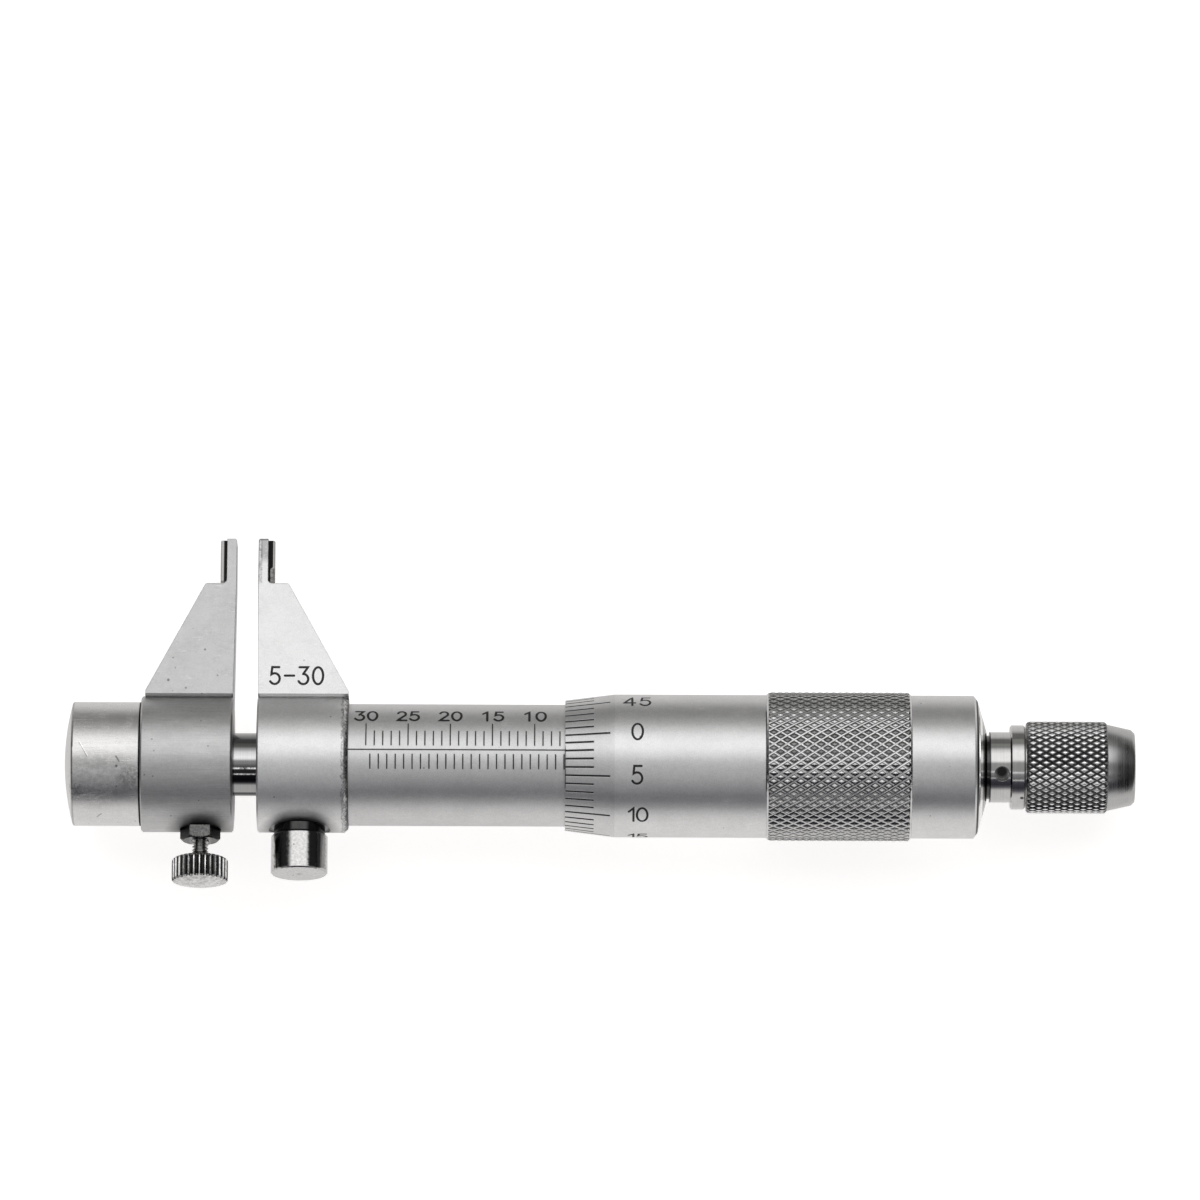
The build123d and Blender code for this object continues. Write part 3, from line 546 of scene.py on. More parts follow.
def plug_finish():
    """Bright plug with painted reflections as dark stripes along its body and painted shade on its neck under
    the ring.
    """
    look = Surface("key_plug_look", 0.09)
    grain = look.grain(3.0, 0.6)
    neck = look.span(look.y, -plug_neck - 0.02, -plug_neck + 0.02)
    aside = look.math("DIVIDE", look.math("SUBTRACT", look.x, plug_x), plug_radius)
    shine = look.vary(grain, 0.78, 1.12)
    body = look.within(look.y, -plug_neck - plug_length + 0.2, -plug_neck - 0.02, 0.03)
    ragged = look.math("ADD", aside, look.vary(look.grain(2.2, 0.75), -0.05, 0.05))
    # Painted reflections: dark stripes along the plug's body
    for low, high, depth in plug_painted_reflections:
        shine = look.darken(shine, look.both(body, look.within(ragged, low, high, 0.03)), depth)
    flecks = look.both(look.specks(1.6, 0.16, 0.5), look.within(aside, -0.45, -0.1, 0.1))
    shine = look.darken(shine, flecks, 0.6)
    # Painted shade on the neck under the ring
    shine = look.darken(shine, neck, 0.9)
    return look.finish(look.shade(grey(0.56, 0.01), shine), look.vary(grain, 0.07, 0.14), grain, 0.001, 0.05)


def guide_tube_finish():
    """Polished tube with painted reflections along it: a brighter band, dark stripes and bright streaks."""
    look = Surface("guide_tube_look", 0.07)
    rings = look.rings(9.0)
    broken = look.span(look.grain(2.4, 0.7), 0.35, 0.6)
    shine = look.vary(rings, 0.9, 1.06)
    # Painted reflections: a brighter band, dark stripes and broken bright streaks at set angles round the tube
    tone = look.span(look.within(look.angle, -8.0, 6.0, 7.0), 0.0, 1.0, 0.42, 0.66)
    for low, high, soft, depth in tube_painted_reflections:
        tone = look.darken(tone, look.within(look.angle, low, high, soft), depth)
    for middle in tube_painted_highlights:
        bright = look.within(look.angle, middle - 1.8, middle + 1.8, 0.9)
        tone = look.lighten(tone, look.both(bright, broken), 0.9)
    shine = look.math("MULTIPLY", shine, tone)
    return look.finish(look.shade(grey(0.9), shine), look.vary(rings, 0.05, 0.1), rings, 0.001, 0.05)


def blackened():
    """Blackened steel with dull mottling, its edges worn bright and painted shade on the side facets of the
    lock bush.
    """
    look = Surface("dark_steel_look", 0.16)
    grain = look.grain(4.0, 0.65)
    round_normal = look.add("ShaderNodeBevel", {"Radius": 0.16 * mm}, samples=bevel_samples).outputs[0]
    flat_normal = look.add("ShaderNodeNewGeometry").outputs["True Normal"]
    agree = look.vector("DOT_PRODUCT", round_normal, flat_normal)["Value"]
    worn = look.both(look.span(agree, 0.97, 0.8), look.span(grain, 0.4, 0.55))
    shine = look.lighten(look.vary(grain, 0.5, 1.7), worn, 3.0)
    aside = look.math("ABSOLUTE", look.math("SUBTRACT", look.x, lock_x))
    # Painted shade on the side facets of the lock bush
    shine = look.darken(shine, look.within(aside, bush_facet, 2 * bush_facet, 0.06), 0.8)
    return look.finish(look.shade(grey(0.1, 0.01), shine), look.vary(grain, 0.12, 0.3), grain, 0.003, 0.12)


def on_cap(length, angle):
    """Place on the side of the cap, at a distance from its end."""
    return Vector(round_spindle(cap_left + length, cap_radius, angle))


def worn_cap(look, shine):
    """Marks of the cap: a dirty patch by its joint, blotches, a deep scratch with a painted shadow beside it,
    nicks and a pit.
    """
    for place, reach, low, high, scale in cap_blotches:
        shine = look.spread(shine, look.near(on_cap(*place), reach), low, high, scale)
    begin, end = (on_cap(*place) for place in cap_scratch)
    # Painted shadow beside the scratch, then the scratch as a bright line
    shine = look.darken(shine, look.line(begin + cap_scratch_shade, end + cap_scratch_shade, 0.08), 0.4)
    shine = look.lighten(shine, look.line(begin, end, 0.07), 0.4)
    for begin, end, reach, depth in cap_nicks:
        shine = look.darken(shine, look.line(on_cap(*begin), on_cap(*end), reach), depth)
    place, reach, depth = cap_pit
    return look.darken(shine, look.near(on_cap(*place), reach), depth)


def blade_foot(look, shine):
    """Painted shade on the bevel at the foot of a blade, and a line of painted shade under it."""
    on_blade_side = look.span(look.radius, ring_dia / 2 + 0.1, ring_dia / 2 + 0.2)
    foot = ring_dia / 2 - blade_sink
    for low, high, depth in ((-0.02, blade_edge + 0.02, 0.3), (-0.08, 0.06, 0.7)):
        mask = look.both(look.within(look.y, foot + low, foot + high, 0.03), on_blade_side)
        shine = look.darken(shine, mask, depth)
    return shine


def worn_moving_jaw(look, shine):
    """Marks of the moving jaw: fine lines along its ring and nicks in its blade, then the painted shade at the
    blade's foot.
    """
    lines = look.noise(look.vector("MULTIPLY", look.place, (0.25, 5.0, 5.0))[0], 1.0, 2.0)
    shine = look.lighten(shine, look.ring(), look.vary(lines, -0.05, 0.05))
    for x, y, reach, depth in blade_nicks:
        shine = look.darken(shine, look.near((x, y, blade_front(y)), reach), depth)
    return blade_foot(look, shine)


def worn_fixed_jaw(look, shine):
    """Marks of the fixed jaw: a rough edge against the sleeve and a worn finger, with painted shade along the
    finger's inner margin and at the blade's foot.
    """
    ring = look.ring()
    edge = look.math("ADD", look.x, look.vary(look.grain(1.3, 0.7), -0.22, 0.22))
    for inset, soft, low, high, scale in rough_edges:
        mask = look.within(edge, fixed_ring_right - inset, fixed_ring_right + 0.5, soft)
        shine = look.spread(shine, look.both(mask, ring), low, high, scale)
    for low, high, depth in edge_lines:
        mask = look.within(edge, fixed_ring_right + low, fixed_ring_right + high)
        shine = look.darken(shine, look.both(mask, ring), depth)
    tip = look.both(look.within(look.x, 0.3, 1.4), look.span(look.y, 24.3, 25.3))
    shine = look.spread(shine, tip, 0.05, 0.42, 1.6, 0.6)
    # Painted shade, in blotches, along the finger's inner margin
    margin = look.both(look.span(look.x, 0.52, 0.42), look.span(look.y, 21.6, 22.0))
    shine = look.spread(shine, margin, 0.15, 0.5, 2.2)
    shine = look.darken(shine, look.span(look.y, blade_tip - 0.25, blade_tip - 0.12), 0.5)
    return blade_foot(look, shine)


# Painted shade round the lock bush and the key plug and inside the spanner hole, and a pit in the collar, each
# with a place, a reach and a depth
bush_shade_halo = ((lock_x, -8.4, 0), 4.4, 0.97)
plug_shade_halo = ((plug_x, -8.4, 0), 5.1, 0.97)
spanner_hole_shade = (round_spindle(neck_right + 1.3, 3.0, -25.3), 1.25, 0.93)
collar_pit = (round_spindle(90.98, 5.0, -61.0), 0.3, 0.9)

# Dark lines at joints and edges, many of them painted shade, between two X and with a depth, some only between
# two Y
cap_line = (moving_ring_left - 0.22, moving_ring_left + 0.03, 0.97)
dome_line = (cap_left + 0.95, cap_left + 1.2, 0.35)
jaw_joint_and_shade_lines = [
    (moving_ring_left - 0.1, moving_ring_left + 0.06, 0.4),
    # Painted shade on the rounded right edge of the moving ring
    (moving_ring_right - 0.12, moving_ring_right + 0.2, 0.6, -5.5, 4.5),
]
# Painted shade along the left edge of the fixed jaw's ring and finger
finger_edge_shade = (-0.3, 0.1, 0.35)
thimble_shade_lines = [
    # Painted shadow at the thimble's left edge, painted shade on its bevel, at the knurl's left end and on the
    # chamfer at its right end
    (thimble_left - 0.1, thimble_left + 0.12, 0.7, -4.4, 0.2),
    (thimble_left, thimble_left + thimble_bevel, 0.08),
    (knurl_left - 0.14, knurl_left + 0.02, 0.9, -4.9, 5.0),
    (thimble_right - 0.28, thimble_right - 0.04, 0.97),
]

looks = {
    # The moving jaw has the fixed jaw's satin, with a darker tone as painted shade
    "satin_jaw": satin(
        "satin_jaw_look", 0.62, wear=1.0, shade_and_pits=[bush_shade_halo], bands=jaw_joint_and_shade_lines, local=worn_moving_jaw
    ),
    "satin_sleeve": satin("satin_sleeve_look", 0.76, wear=0.15, roughness=0.46),
    "satin_thimble": satin("satin_thimble_look", 0.8, wear=0.25, roughness=0.41, bands=thimble_shade_lines),
    "satin_cap": satin(
        "satin_cap_look", 0.76, 0.01, wear=1.0, roughness=0.34, bands=[cap_line, dome_line], local=worn_cap
    ),
    "carbide": carbide(),
    "polished_steel": polished(
        "polished_steel_look",
        0.56,
        0.01,
        shade_and_pits=[spanner_hole_shade, collar_pit],
        # Painted shade on the ratchet's neck
        bands=[(neck_left, neck_right, 0.85)],
    ),
    "knurled_steel": knurled(
        "knurled_steel_look", 0.68, knob_crest, knob_knurl_rise,
        roughness=0.2, valley=-0.8, foot=-0.75, flank=-0.2, tip=0.4, tip_start=0.72,
    ),
    "dark_steel": blackened(),
    "plain_steel": polished("plain_steel_look", 0.5, roughness=0.25, turned=1.0),
    "spring_steel": polished("spring_steel_look", 0.34, roughness=0.22, turned=0.3),
    "bronze": bronze(),
    "scale_ink": ink(),
}
thimble_knurl_look = knurled(
    "thimble_knurl_look", 0.78, thimble_crest, thimble_knurl_rise,
    roughness=0.16, valley=-0.15, foot=-0.82, flank=-0.25, tip=0.5, tip_start=0.84,
)
knob_end_look = polished("knob_end_look", 0.5, roughness=0.24, turned=1.0)
thumb_look = thumb_screw_finish()
own_looks = {
    "fixed_jaw": satin("fixed_jaw_look", 0.86, shade_and_pits=[plug_shade_halo], bands=[finger_edge_shade], local=worn_fixed_jaw),
    "key_plug": plug_finish(),
    "guide_tube": guide_tube_finish(),
    # The hub's bright tone is a painted highlight, and its neck band painted shade
    "thimble_hub": polished("thimble_hub_lit_and_shaded_look", 0.95, 0.01, bands=[(neck_left, neck_right, 0.9)]),
}
for name, node in frame["nodes"].items():
    for slot in node.material_slots:
        slot.material = own_looks.get(name) or looks[slot.material.name.split(".")[0]]


def ink_sleeve():
    """Gives the ink to the faces of the sleeve that lie in its engraved lines."""
    mesh = frame["nodes"]["sleeve"].data
    mesh.materials.append(looks["scale_ink"])
    for face in mesh.polygons:
        corners = [mesh.vertices[index].co - spindle for index in face.vertices]
        depth = sleeve_radius - min(hypot(corner.y, corner.z) for corner in corners) / mm
        if abs(depth - mark_depth) < 0.2 * mark_depth:
            face.material_index = len(mesh.materials) - 1


ink_sleeve()


# Meshes

sharp_angle = 35.0
axis_radius = 0.001
round_steps = 6


def add_object(name, data):
    made = bpy.data.objects.new(name, data)
    bpy.context.scene.collection.objects.link(made)
    return made


def put_piece(name, vertices, faces, body, materials, second=(), sharp=sharp_angle):
    """Object from instrument coordinates, riding on a body. Some faces may have the second material."""
    mesh = bpy.data.meshes.new(name)
    mesh.from_pydata([lay_down @ Vector(vertex) for vertex in vertices], [], faces)
    for material in materials:
        mesh.materials.append(material)
    for index in second:
        mesh.polygons[index].material_index = 1
    mesh.polygons.foreach_set("use_smooth", [True] * len(mesh.polygons))
    mesh.set_sharp_from_angle(angle=radians(sharp))
    mesh.validate()
    piece = add_object(name, mesh)
    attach(piece, body)
    return piece


def round_lock(depth, radius, angle):
    """Point round the axis of the lock screw at a depth under the spindle."""
    a = radians(angle)
    return (lock_x + radius * sin(a), -depth, radius * cos(a))


def turned(rows, angles, place, slanted=None):
    """Vertices and faces of a closed turned form. A row is its place on the axis and one radius or many."""
    count = len(angles)
    vertices = []
    for station, radii in rows:
        if isinstance(radii, (int, float)):
            radii = [radii] * count
        vertices += [place(station, radius, angle) for radius, angle in zip(radii, angles)]
    faces = []
    for j in range(len(rows)):
        above = (j + 1) % len(rows)
        for i in range(count):
            beside = (i + 1) % count
            a, b = j * count + i, j * count + beside
            c, d = above * count + beside, above * count + i
            if slanted is None or slanted(j, i) is None:
                faces.append((a, d, c, b))
            elif slanted(j, i):
                faces += [(a, d, b), (b, d, c)]
            else:
                faces += [(a, c, b), (a, d, c)]
    return vertices, faces


def from_valley(steps):
    """Eighths of a pitch from the nearest valley."""
    rest = steps % eighths
    return min(rest, eighths - rest)


def knurl_slant(j, i):
    """Which diagonal of the cell at row j and column i lies along the nearer of the two sets of valleys."""
    rising = min(from_valley(i + j), from_valley(i + j + 2))
    falling = min(from_valley(i - j - 1), from_valley(i - j + 1))
    return rising + from_valley(i + j + 1) < falling + from_valley(i - j)


def knurl_rows(left, right, crest, starts, pitch, rise, edge):
    """Rows of a diamond knurl with chamfered ends."""
    steps = round((right - left) / pitch * eighths)
    valley = crest - max(rise)
    rows = []
    for j in range(steps + 1):
        x = left + (right - left) * j / steps
        limit = crest - max(0.0, edge - min(x - left, right - x))
        rises = [rise[min(from_valley(i + j), from_valley(i - j))] for i in range(starts * eighths)]
        rows.append((x, [min(valley + height, limit) for height in rises]))
    return rows


def knurled_form(rows, others, starts):
    """Closed turned form with the rows of a knurl and the others that close it."""
    count = starts * eighths
    last = len(rows) - 1
    angles = [360 * i / count for i in range(count)]
    return turned(rows + others, angles, round_spindle, lambda j, i: knurl_slant(j, i) if j < last else None)


# Thimble: a turned shell with engraved divisions, and its knurled band

def thimble_shell():
    slope = atan2((thimble_dia - thimble_edge_dia) / 2, thimble_bevel)

    def on_bevel(length):
        return thimble_left + length * cos(slope), thimble_edge_dia / 2 + length * sin(slope)

    rows = [
        (thimble_left, thimble_bore / 2),
        (thimble_left, thimble_edge_dia / 2),
        on_bevel(division_rim),
        on_bevel(division_short),
        on_bevel(division_long),
        (thimble_left + thimble_bevel, thimble_dia / 2),
        (knurl_left, thimble_dia / 2),
        (knurl_left, knurl_seat_dia / 2),
        (knurl_right, knurl_seat_dia / 2),
        (knurl_right, thimble_dia / 2),
        (thimble_right - thimble_end_edge, thimble_dia / 2),
        (thimble_right, thimble_end_dia / 2),
        (thimble_right, thimble_bore / 2),
    ]
    step = 360 / divisions
    half = degrees(division_width / thimble_edge_dia)
    angles = []
    for n in range(divisions):
        line = zero_line + n * step
        angles += [line - half, line + half, line + step / 3, line + 2 * step / 3]
    vertices, faces = turned(rows, angles, round_spindle)
    count = len(angles)
    per_division = count // divisions
    short_lines = range(2 * count, 3 * count, per_division)
    rest_of_long_lines = range(3 * count, 4 * count, per_division * long_every)
    inked = engrave(vertices, faces, [*short_lines, *rest_of_long_lines])
    materials = [looks["satin_thimble"], looks["scale_ink"]]
    piece = put_piece("thimble_shell", vertices, faces, "thimble", materials, inked)
    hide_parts("thimble")


def engrave(vertices, faces, chosen):
    """Sinks the chosen faces towards the spindle and adds their walls. Returns which faces take the ink."""
    rims = [edge for index in chosen for edge in zip(faces[index], faces[index][1:] + faces[index][:1])]
    sunk = {}
    for corner, _ in rims:
        if corner not in sunk:
            sunk[corner] = len(vertices)
            x, y, z = vertices[corner]
            share = 1 - mark_depth / hypot(y, z)
            vertices.append((x, y * share, z * share))
    walls = [(a, b, sunk[b], sunk[a]) for a, b in rims if (b, a) not in rims]
    for index in chosen:
        faces[index] = tuple(sunk[corner] for corner in faces[index])
    faces += walls
    return [*chosen, *range(len(faces) - len(walls), len(faces))]


def thimble_knurl():
    pattern = (thimble_knurl_starts, thimble_knurl_pitch, thimble_knurl_rise)
    rows = knurl_rows(knurl_left, knurl_right, thimble_crest, *pattern, knurl_edge)
    inside = [(knurl_right, knurl_seat_dia / 2), (knurl_left, knurl_seat_dia / 2)]
    vertices, faces = knurled_form(rows, inside, thimble_knurl_starts)
    piece = put_piece(
        "thimble_knurl", vertices, faces, "thimble", [thimble_knurl_look], sharp=knurl_sharp
    )
    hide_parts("thimble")


thimble_shell()
thimble_knurl()


# Ratchet knob: knurl, tapered end and the hollow for the ratchet

def ratchet_grip():
    grip_right = knob_left + knob_knurl_length
    wall_right = knob_right - knob_recess_depth
    pattern = (knob_knurl_starts, knob_knurl_pitch, knob_knurl_rise)
    rows = knurl_rows(knob_left, grip_right, knob_crest, *pattern, knob_edge)
    others = [
        (grip_right + knob_shoulder, knob_taper_dia / 2),
        (grip_right + knob_taper_length, knob_end_dia / 2),
        (knob_right, knob_end_dia / 2 - knob_end_edge),
        (knob_right, knob_recess_dia / 2),
        (wall_right, knob_recess_dia / 2),
        (wall_right, knob_stem_bore / 2),
        (wall_right - knob_wall, knob_stem_bore / 2),
        (wall_right - knob_wall, knob_bore / 2),
        (knob_left, knob_bore / 2),
    ]
    vertices, faces = knurled_form(rows, others, knob_knurl_starts)
    knurl_faces = 2 * (len(rows) - 1) * knob_knurl_starts * eighths
    materials = [looks["knurled_steel"], knob_end_look]
    smooth = range(knurl_faces, len(faces))
    piece = put_piece("ratchet_grip", vertices, faces, "ratchet_knob", materials, smooth)
    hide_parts("ratchet_knob")


ratchet_grip()


# Lock screw: thread, neck and ridged head with a domed end

def thumb_screw():
    columns = lock_ridges * len(lock_ridge_rise)
    angles = [360 * i / columns for i in range(columns)]
    thread_end = lock_head_top - lock_neck
    turns = (thread_end - lock_pad_end) / lock_pitch
    steps = int(turns * eighths)

    def thread(j):
        fade = min(1.0, (steps - j) / eighths)
        radii = []
        for i in range(columns):
            phase = (j / eighths - i / columns) % 1.0
            flank = min(1.0, max(0.0, lock_flank_slope * abs(phase - 0.5) - lock_flank_foot))
            radii.append(lock_minor + (lock_major - lock_minor) * (flank * fade + (1 - fade)))
        return radii

    def ridged(radius, share):
        depths = [share * lock_ridge_depth * rise for rise in lock_ridge_rise]
        return [radius - depth for depth in depths] * lock_ridges

    rows = [(lock_pad_end, axis_radius)]
    rows += [(lock_pad_end + j * lock_pitch / eighths, thread(j)) for j in range(steps + 1)]
    rows += [(lock_head_top, 2 * lock_major)]
    wide, high = lock_head_top_round
    for k in range(round_steps + 1):
        share = k / round_steps
        a = pi / 2 * share
        radius = lock_head_radius - wide * (1 - sin(a))
        rows.append((lock_head_top + high * (1 - cos(a)), ridged(radius, share)))
    bottom = lock_head_top + lock_head_length
    for above, inset, share in lock_head_end_rows:
        radius = lock_head_radius - inset * lock_head_end_round
        rows.append((bottom - above * lock_head_end_round, ridged(radius, share)))
    dome = lock_head_radius - lock_head_end_round
    for k in range(1, round_steps + 1):
        reach = dome * (1 - k / round_steps)
        rows.append((bottom + lock_head_dome * (1 - (reach / dome) ** 2), max(reach, axis_radius)))
    vertices, faces = turned(rows, angles, round_lock)
    piece = put_piece(
        "thumb_screw", vertices, faces, "lock_screw", [thumb_look], sharp=lock_sharp
    )
    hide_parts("lock_screw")


thumb_screw()


# Numerals: single strokes with round ends

end_steps = 4


def arc(centre, reach, start, end, steps=14):
    """Points on an ellipse between two angles in degrees."""
    turns = [radians(start + (end - start) * k / steps) for k in range(steps + 1)]
    return [(centre[0] + reach[0] * cos(a), centre[1] + reach[1] * sin(a)) for a in turns]


glyphs = {
    "0": [arc((0.5, 0.5), (0.5, 0.5), 90, 450, 28)],
    "1": [[(0.15, 0.74), (0.6, 1.0), (0.6, 0.0)]],
    "2": [arc((0.48, 0.7), (0.42, 0.3), 165, -35) + [(0.03, 0.0), (0.97, 0.0)]],
    "3": [[(0.08, 1.0), (0.9, 1.0), (0.45, 0.6)] + arc((0.45, 0.3), (0.5, 0.3), 90, -155)],
    "4": [[(0.74, 0.0), (0.74, 1.0), (0.0, 0.28), (1.0, 0.28)]],
    "5": [[(0.88, 1.0), (0.2, 1.0), (0.12, 0.56)] + arc((0.45, 0.32), (0.5, 0.32), 115, -150)],
    "-": [[(0.05, 0.5), (0.95, 0.5)]],
}


def ribbon(points, width):
    """Outline of a stroke as pairs of left and right points, and whether it closes on itself."""
    closed = (Vector(points[0]) - Vector(points[-1])).length < 0.001
    if closed:
        points = points[:-1]
    count = len(points)
    pairs = []
    for k, (u, v) in enumerate(points):
        before = points[(k - 1) % count] if closed or k else points[k]
        after = points[(k + 1) % count] if closed or k < count - 1 else points[k]
        one = Vector((u - before[0], v - before[1]))
        two = Vector((after[0] - u, after[1] - v))
        first = one.normalized() if one.length else two.normalized()
        second = two.normalized() if two.length else one.normalized()
        middle = (first + second).normalized()
        wide = width / 2 / max(0.5, middle.dot(first))
        side = Vector((-middle.y, middle.x)) * wide
        pairs.append(((u + side.x, v + side.y), (u - side.x, v - side.y)))
    if closed:
        return pairs, True
    return round_end(pairs, 0)[::-1] + pairs + round_end(pairs, -1), False


def round_end(pairs, which):
    """Pairs that round off one end of a stroke, outwards."""
    left, right = (Vector(point) for point in pairs[which])
    next_left, next_right = (Vector(point) for point in pairs[1 if which == 0 else -2])
    middle = (left + right) / 2
    half = (left - right) / 2
    out = (middle - (next_left + next_right) / 2).normalized() * half.length
    caps = []
    for k in range(1, end_steps + 1):
        a = pi / 2 * k / (end_steps + 0.4)
        tip = middle + out * sin(a)
        caps.append((tuple(tip + half * cos(a)), tuple(tip - half * cos(a))))
    return caps


def divided(points):
    """Points of a stroke, with more where two lie far apart, so that it follows a round surface."""
    line = [points[0]]
    for (u, v), (to_u, to_v) in zip(points, points[1:]):
        parts = max(1, round(hypot(to_u - u, to_v - v) / longest_stroke))
        line += [(u + (to_u - u) * k / parts, v + (to_v - v) * k / parts) for k in range(1, parts + 1)]
    return line


def letter(text, digit, place):
    """Vertices and faces of a line of digits centred on (0, 0), each stroke a thin closed solid."""
    width, height = digit["size"]
    middles = [0.0]
    for character in text[:-1]:
        middles.append(middles[-1] + digit["step"] * (digit["narrow"] if character == "1" else 1.0))
    vertices, faces = [], []
    for middle, character in zip(middles, text):
        shift = middle - middles[-1] / 2
        for stroke in glyphs[character]:
            drawn = [(shift + (u - 0.5) * width, (v - 0.5) * height) for u, v in stroke]
            pairs, closed = ribbon(divided(drawn), digit["stroke"])
            base = len(vertices)
            for left, right in pairs:
                for u, v in (left, right):
                    vertices.append(place(u, v, ink_proud))
                    vertices.append(place(u, v, -ink_sunk))
            count = len(pairs)
            for k in range(count if closed else count - 1):
                a = base + 4 * k
                b = base + 4 * ((k + 1) % count)
                faces += [(a, a + 2, b + 2, b), (a + 1, b + 1, b + 3, a + 3)]
                faces += [(a, b, b + 1, a + 1), (a + 2, a + 3, b + 3, b + 2)]
            if not closed:
                e = base + 4 * (count - 1)
                faces += [(base, base + 1, base + 3, base + 2), (e, e + 2, e + 3, e + 1)]
    return vertices, faces


def on_cylinder(x, radius, angle):
    """Places what is drawn flat on a cylinder round the spindle, upright towards the jaw tips."""
    def place(u, v, height):
        return round_spindle(x + u, radius + height, angle + degrees(v / radius))
    return place


def on_blade(x, y):
    """Places what is drawn flat on the front face of the fixed blade."""
    def place(u, v, height):
        return (x + u, y + v, blade_front(y + v) + height)
    return place


def inked_piece(name, parts, body):
    """One piece from several lines of digits."""
    vertices, faces = [], []
    for more_vertices, more_faces in parts:
        base = len(vertices)
        vertices += more_vertices
        faces += [tuple(base + index for index in face) for face in more_faces]
    put_piece(name, vertices, faces, body, [looks["scale_ink"]])


sleeve_text = []
sleeve_turn = degrees(sleeve_digit_arc / sleeve_radius)
for number in range(range_min, range_max + 1, long_every):
    where = on_cylinder(mark_30 + range_max - number, sleeve_radius, sleeve_turn)
    sleeve_text.append(letter(str(number), sleeve_digit, where))
inked_piece("sleeve_numerals", sleeve_text, "frame")

thimble_text = []
for number in range(0, divisions, long_every):
    turn = zero_line + thimble_digit_lift - number * 360 / divisions
    where = on_cylinder(thimble_digit_x, thimble_dia / 2, turn)
    thimble_text.append(letter(str(number), thimble_digit, where))
inked_piece("thimble_numerals", thimble_text, "thimble")

inked_piece("range_numerals", [letter("5-30", blade_digit, on_blade(*blade_text_middle))], "frame")


# Stage: floor, sky and camera. The floor glows for the camera, and in polished metal by its distance from the
# spindle in Y: from and to in metres, and the glow at both.

floor_reach = 3.0
floor_tint = (1.0, 0.985, 0.975, 1.0)
floor_seen = 0.78
floor_mirrored = [(-0.005, 0.005, 0.85, 0.0), (0.02, 0.045, 0.78, 0.2)]


def pale_floor():
    """Wide white floor that keeps a faint shadow and shows pale in polished metal."""
    mesh = bpy.data.meshes.new("floor")
    corners = [(x * floor_reach, y * floor_reach, 0) for x, y in ((-1, -1), (1, -1), (1, 1), (-1, 1))]
    mesh.from_pydata(corners, [], [(0, 1, 2, 3)])
    floor = add_object("floor", mesh)
    material = bpy.data.materials.new("floor_look")
    material.use_nodes = True
    look = Graph(material.node_tree)
    nodes = material.node_tree.nodes
    nodes.remove(nodes["Principled BSDF"])
    paths = look.add("ShaderNodeLightPath").outputs
    camera, glossy = paths["Is Camera Ray"], paths["Is Glossy Ray"]
    where = look.add("ShaderNodeTexCoord").outputs["Object"]
    y = look.add("ShaderNodeSeparateXYZ", {0: where}).outputs[1]
    apart = look.math("SUBTRACT", y, spindle.y)
    near, far = (look.span(apart, *reach_and_glow) for reach_and_glow in floor_mirrored)
    seen = look.math("MULTIPLY", camera, floor_seen)
    mirrored = look.math("MULTIPLY", glossy, look.math("MAXIMUM", near, far))
    glow = look.math("ADD", seen, mirrored)
    light = look.add("ShaderNodeEmission", {"Color": floor_tint, "Strength": glow})
    matt = look.add("ShaderNodeBsdfDiffuse", {"Color": look.blend(glossy, grey(0.8), grey(0.0))})
    both = look.add("ShaderNodeAddShader", {0: light.outputs[0], 1: matt.outputs[0]})
    look.feed(nodes["Material Output"].inputs["Surface"], both.outputs[0])
    mesh.materials.append(material)


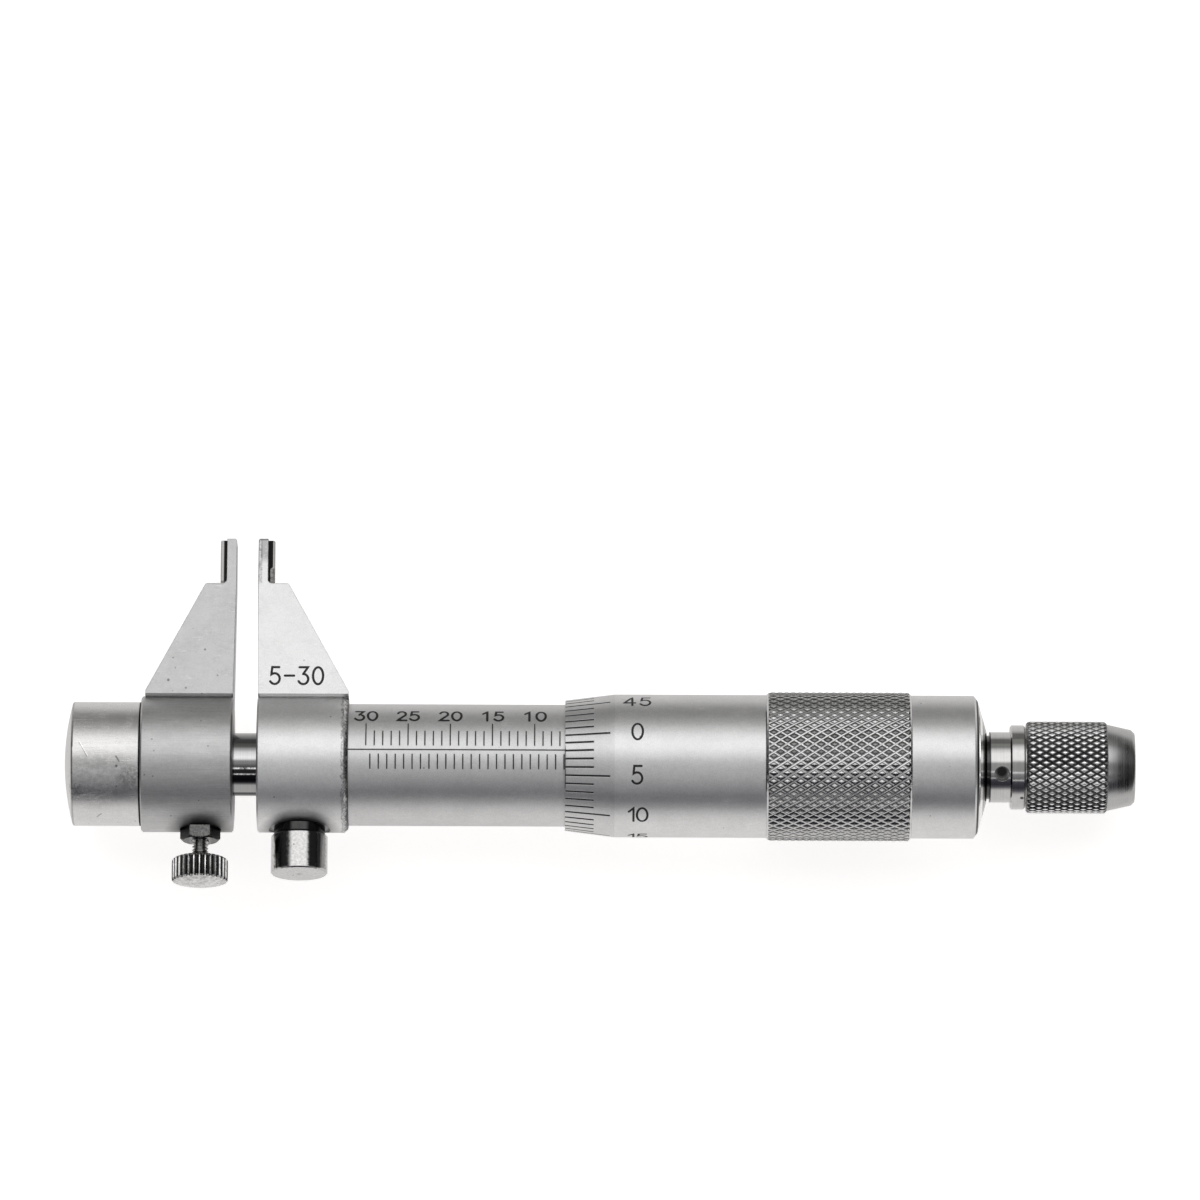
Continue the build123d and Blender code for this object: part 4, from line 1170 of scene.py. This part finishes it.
# Brightness of the studio by its angle in degrees from straight up towards +Y, as a colour or a grey, and
# from where to where it falls off to both sides, and to what share
studio = [
    (-180, 0.4),
    (-92, 0.85, 0.84, 0.83),
    (-80, 0.8, 0.79, 0.78),
    (-68, 0.14, 0.14, 0.16),
    (-58, 0.04, 0.04, 0.05),
    (-40, 0.08, 0.08, 0.1),
    (-37, 0.12, 0.12, 0.13),
    (-36, 0.9),
    (-34, 0.9),
    (-33, 0.16, 0.16, 0.17),
    (-16, 0.38, 0.38, 0.39),
    (-15, 1.1),
    (-12, 1.1),
    (-11, 0.4),
    (14, 0.44),
    (22, 1.4),
    (46, 1.4),
    (60, 0.9),
    (70, 0.3, 0.3, 0.29),
    (82, 0.32, 0.32, 0.3),
    (90, 0.14),
    (180, 0.4),
]
studio_reach = (0.46, 0.68)
studio_side = 0.07


def studio_sky():
    """Soft light from beyond the jaw tips, with darker sides, and white for the camera."""
    world = bpy.data.worlds.new("studio")
    world.use_nodes = True
    bpy.context.scene.world = world
    look = Graph(world.node_tree)
    where = look.add("ShaderNodeTexCoord").outputs["Generated"]
    parts = look.add("ShaderNodeSeparateXYZ", {0: where}).outputs
    angle = look.math("ARCTAN2", parts[1], parts[2])
    ramp = look.add("ShaderNodeValToRGB", {0: look.span(angle, -pi, pi)})
    stops = ramp.color_ramp.elements
    while len(stops) > 1:
        stops.remove(stops[-1])
    for index, (turn, *colour) in enumerate(studio):
        place = turn / 360 + 0.5
        stop = stops[0] if index == 0 else stops.new(place)
        stop.position = place
        stop.color = (*(colour if len(colour) == 3 else colour * 3), 1.0)
    side = look.span(look.math("ABSOLUTE", parts[0]), *studio_reach, 1.0, studio_side)
    camera = look.add("ShaderNodeLightPath").outputs["Is Camera Ray"]
    colour = look.blend(camera, look.shade(ramp.outputs[0], side), (1.0, 1.0, 1.0, 1.0))
    look.feed(world.node_tree.nodes["Background"].inputs["Color"], colour)


def photo_camera():
    """Camera straight above, at the photograph's scale."""
    data = bpy.data.cameras.new("photo_camera")
    camera = add_object("photo_camera", data)
    data.sensor_width = sensor_width
    data.lens = sensor_width * camera_distance / (photo_pixels / pixels_per_mm)
    camera.location = Vector((*photo_middle, photo_height + camera_distance)) * mm
    camera.rotation_euler.z = radians(photo_turn)
    bpy.context.scene.camera = camera


pale_floor()
studio_sky()
photo_camera()
bpy.context.scene.view_settings.view_transform = "Standard"
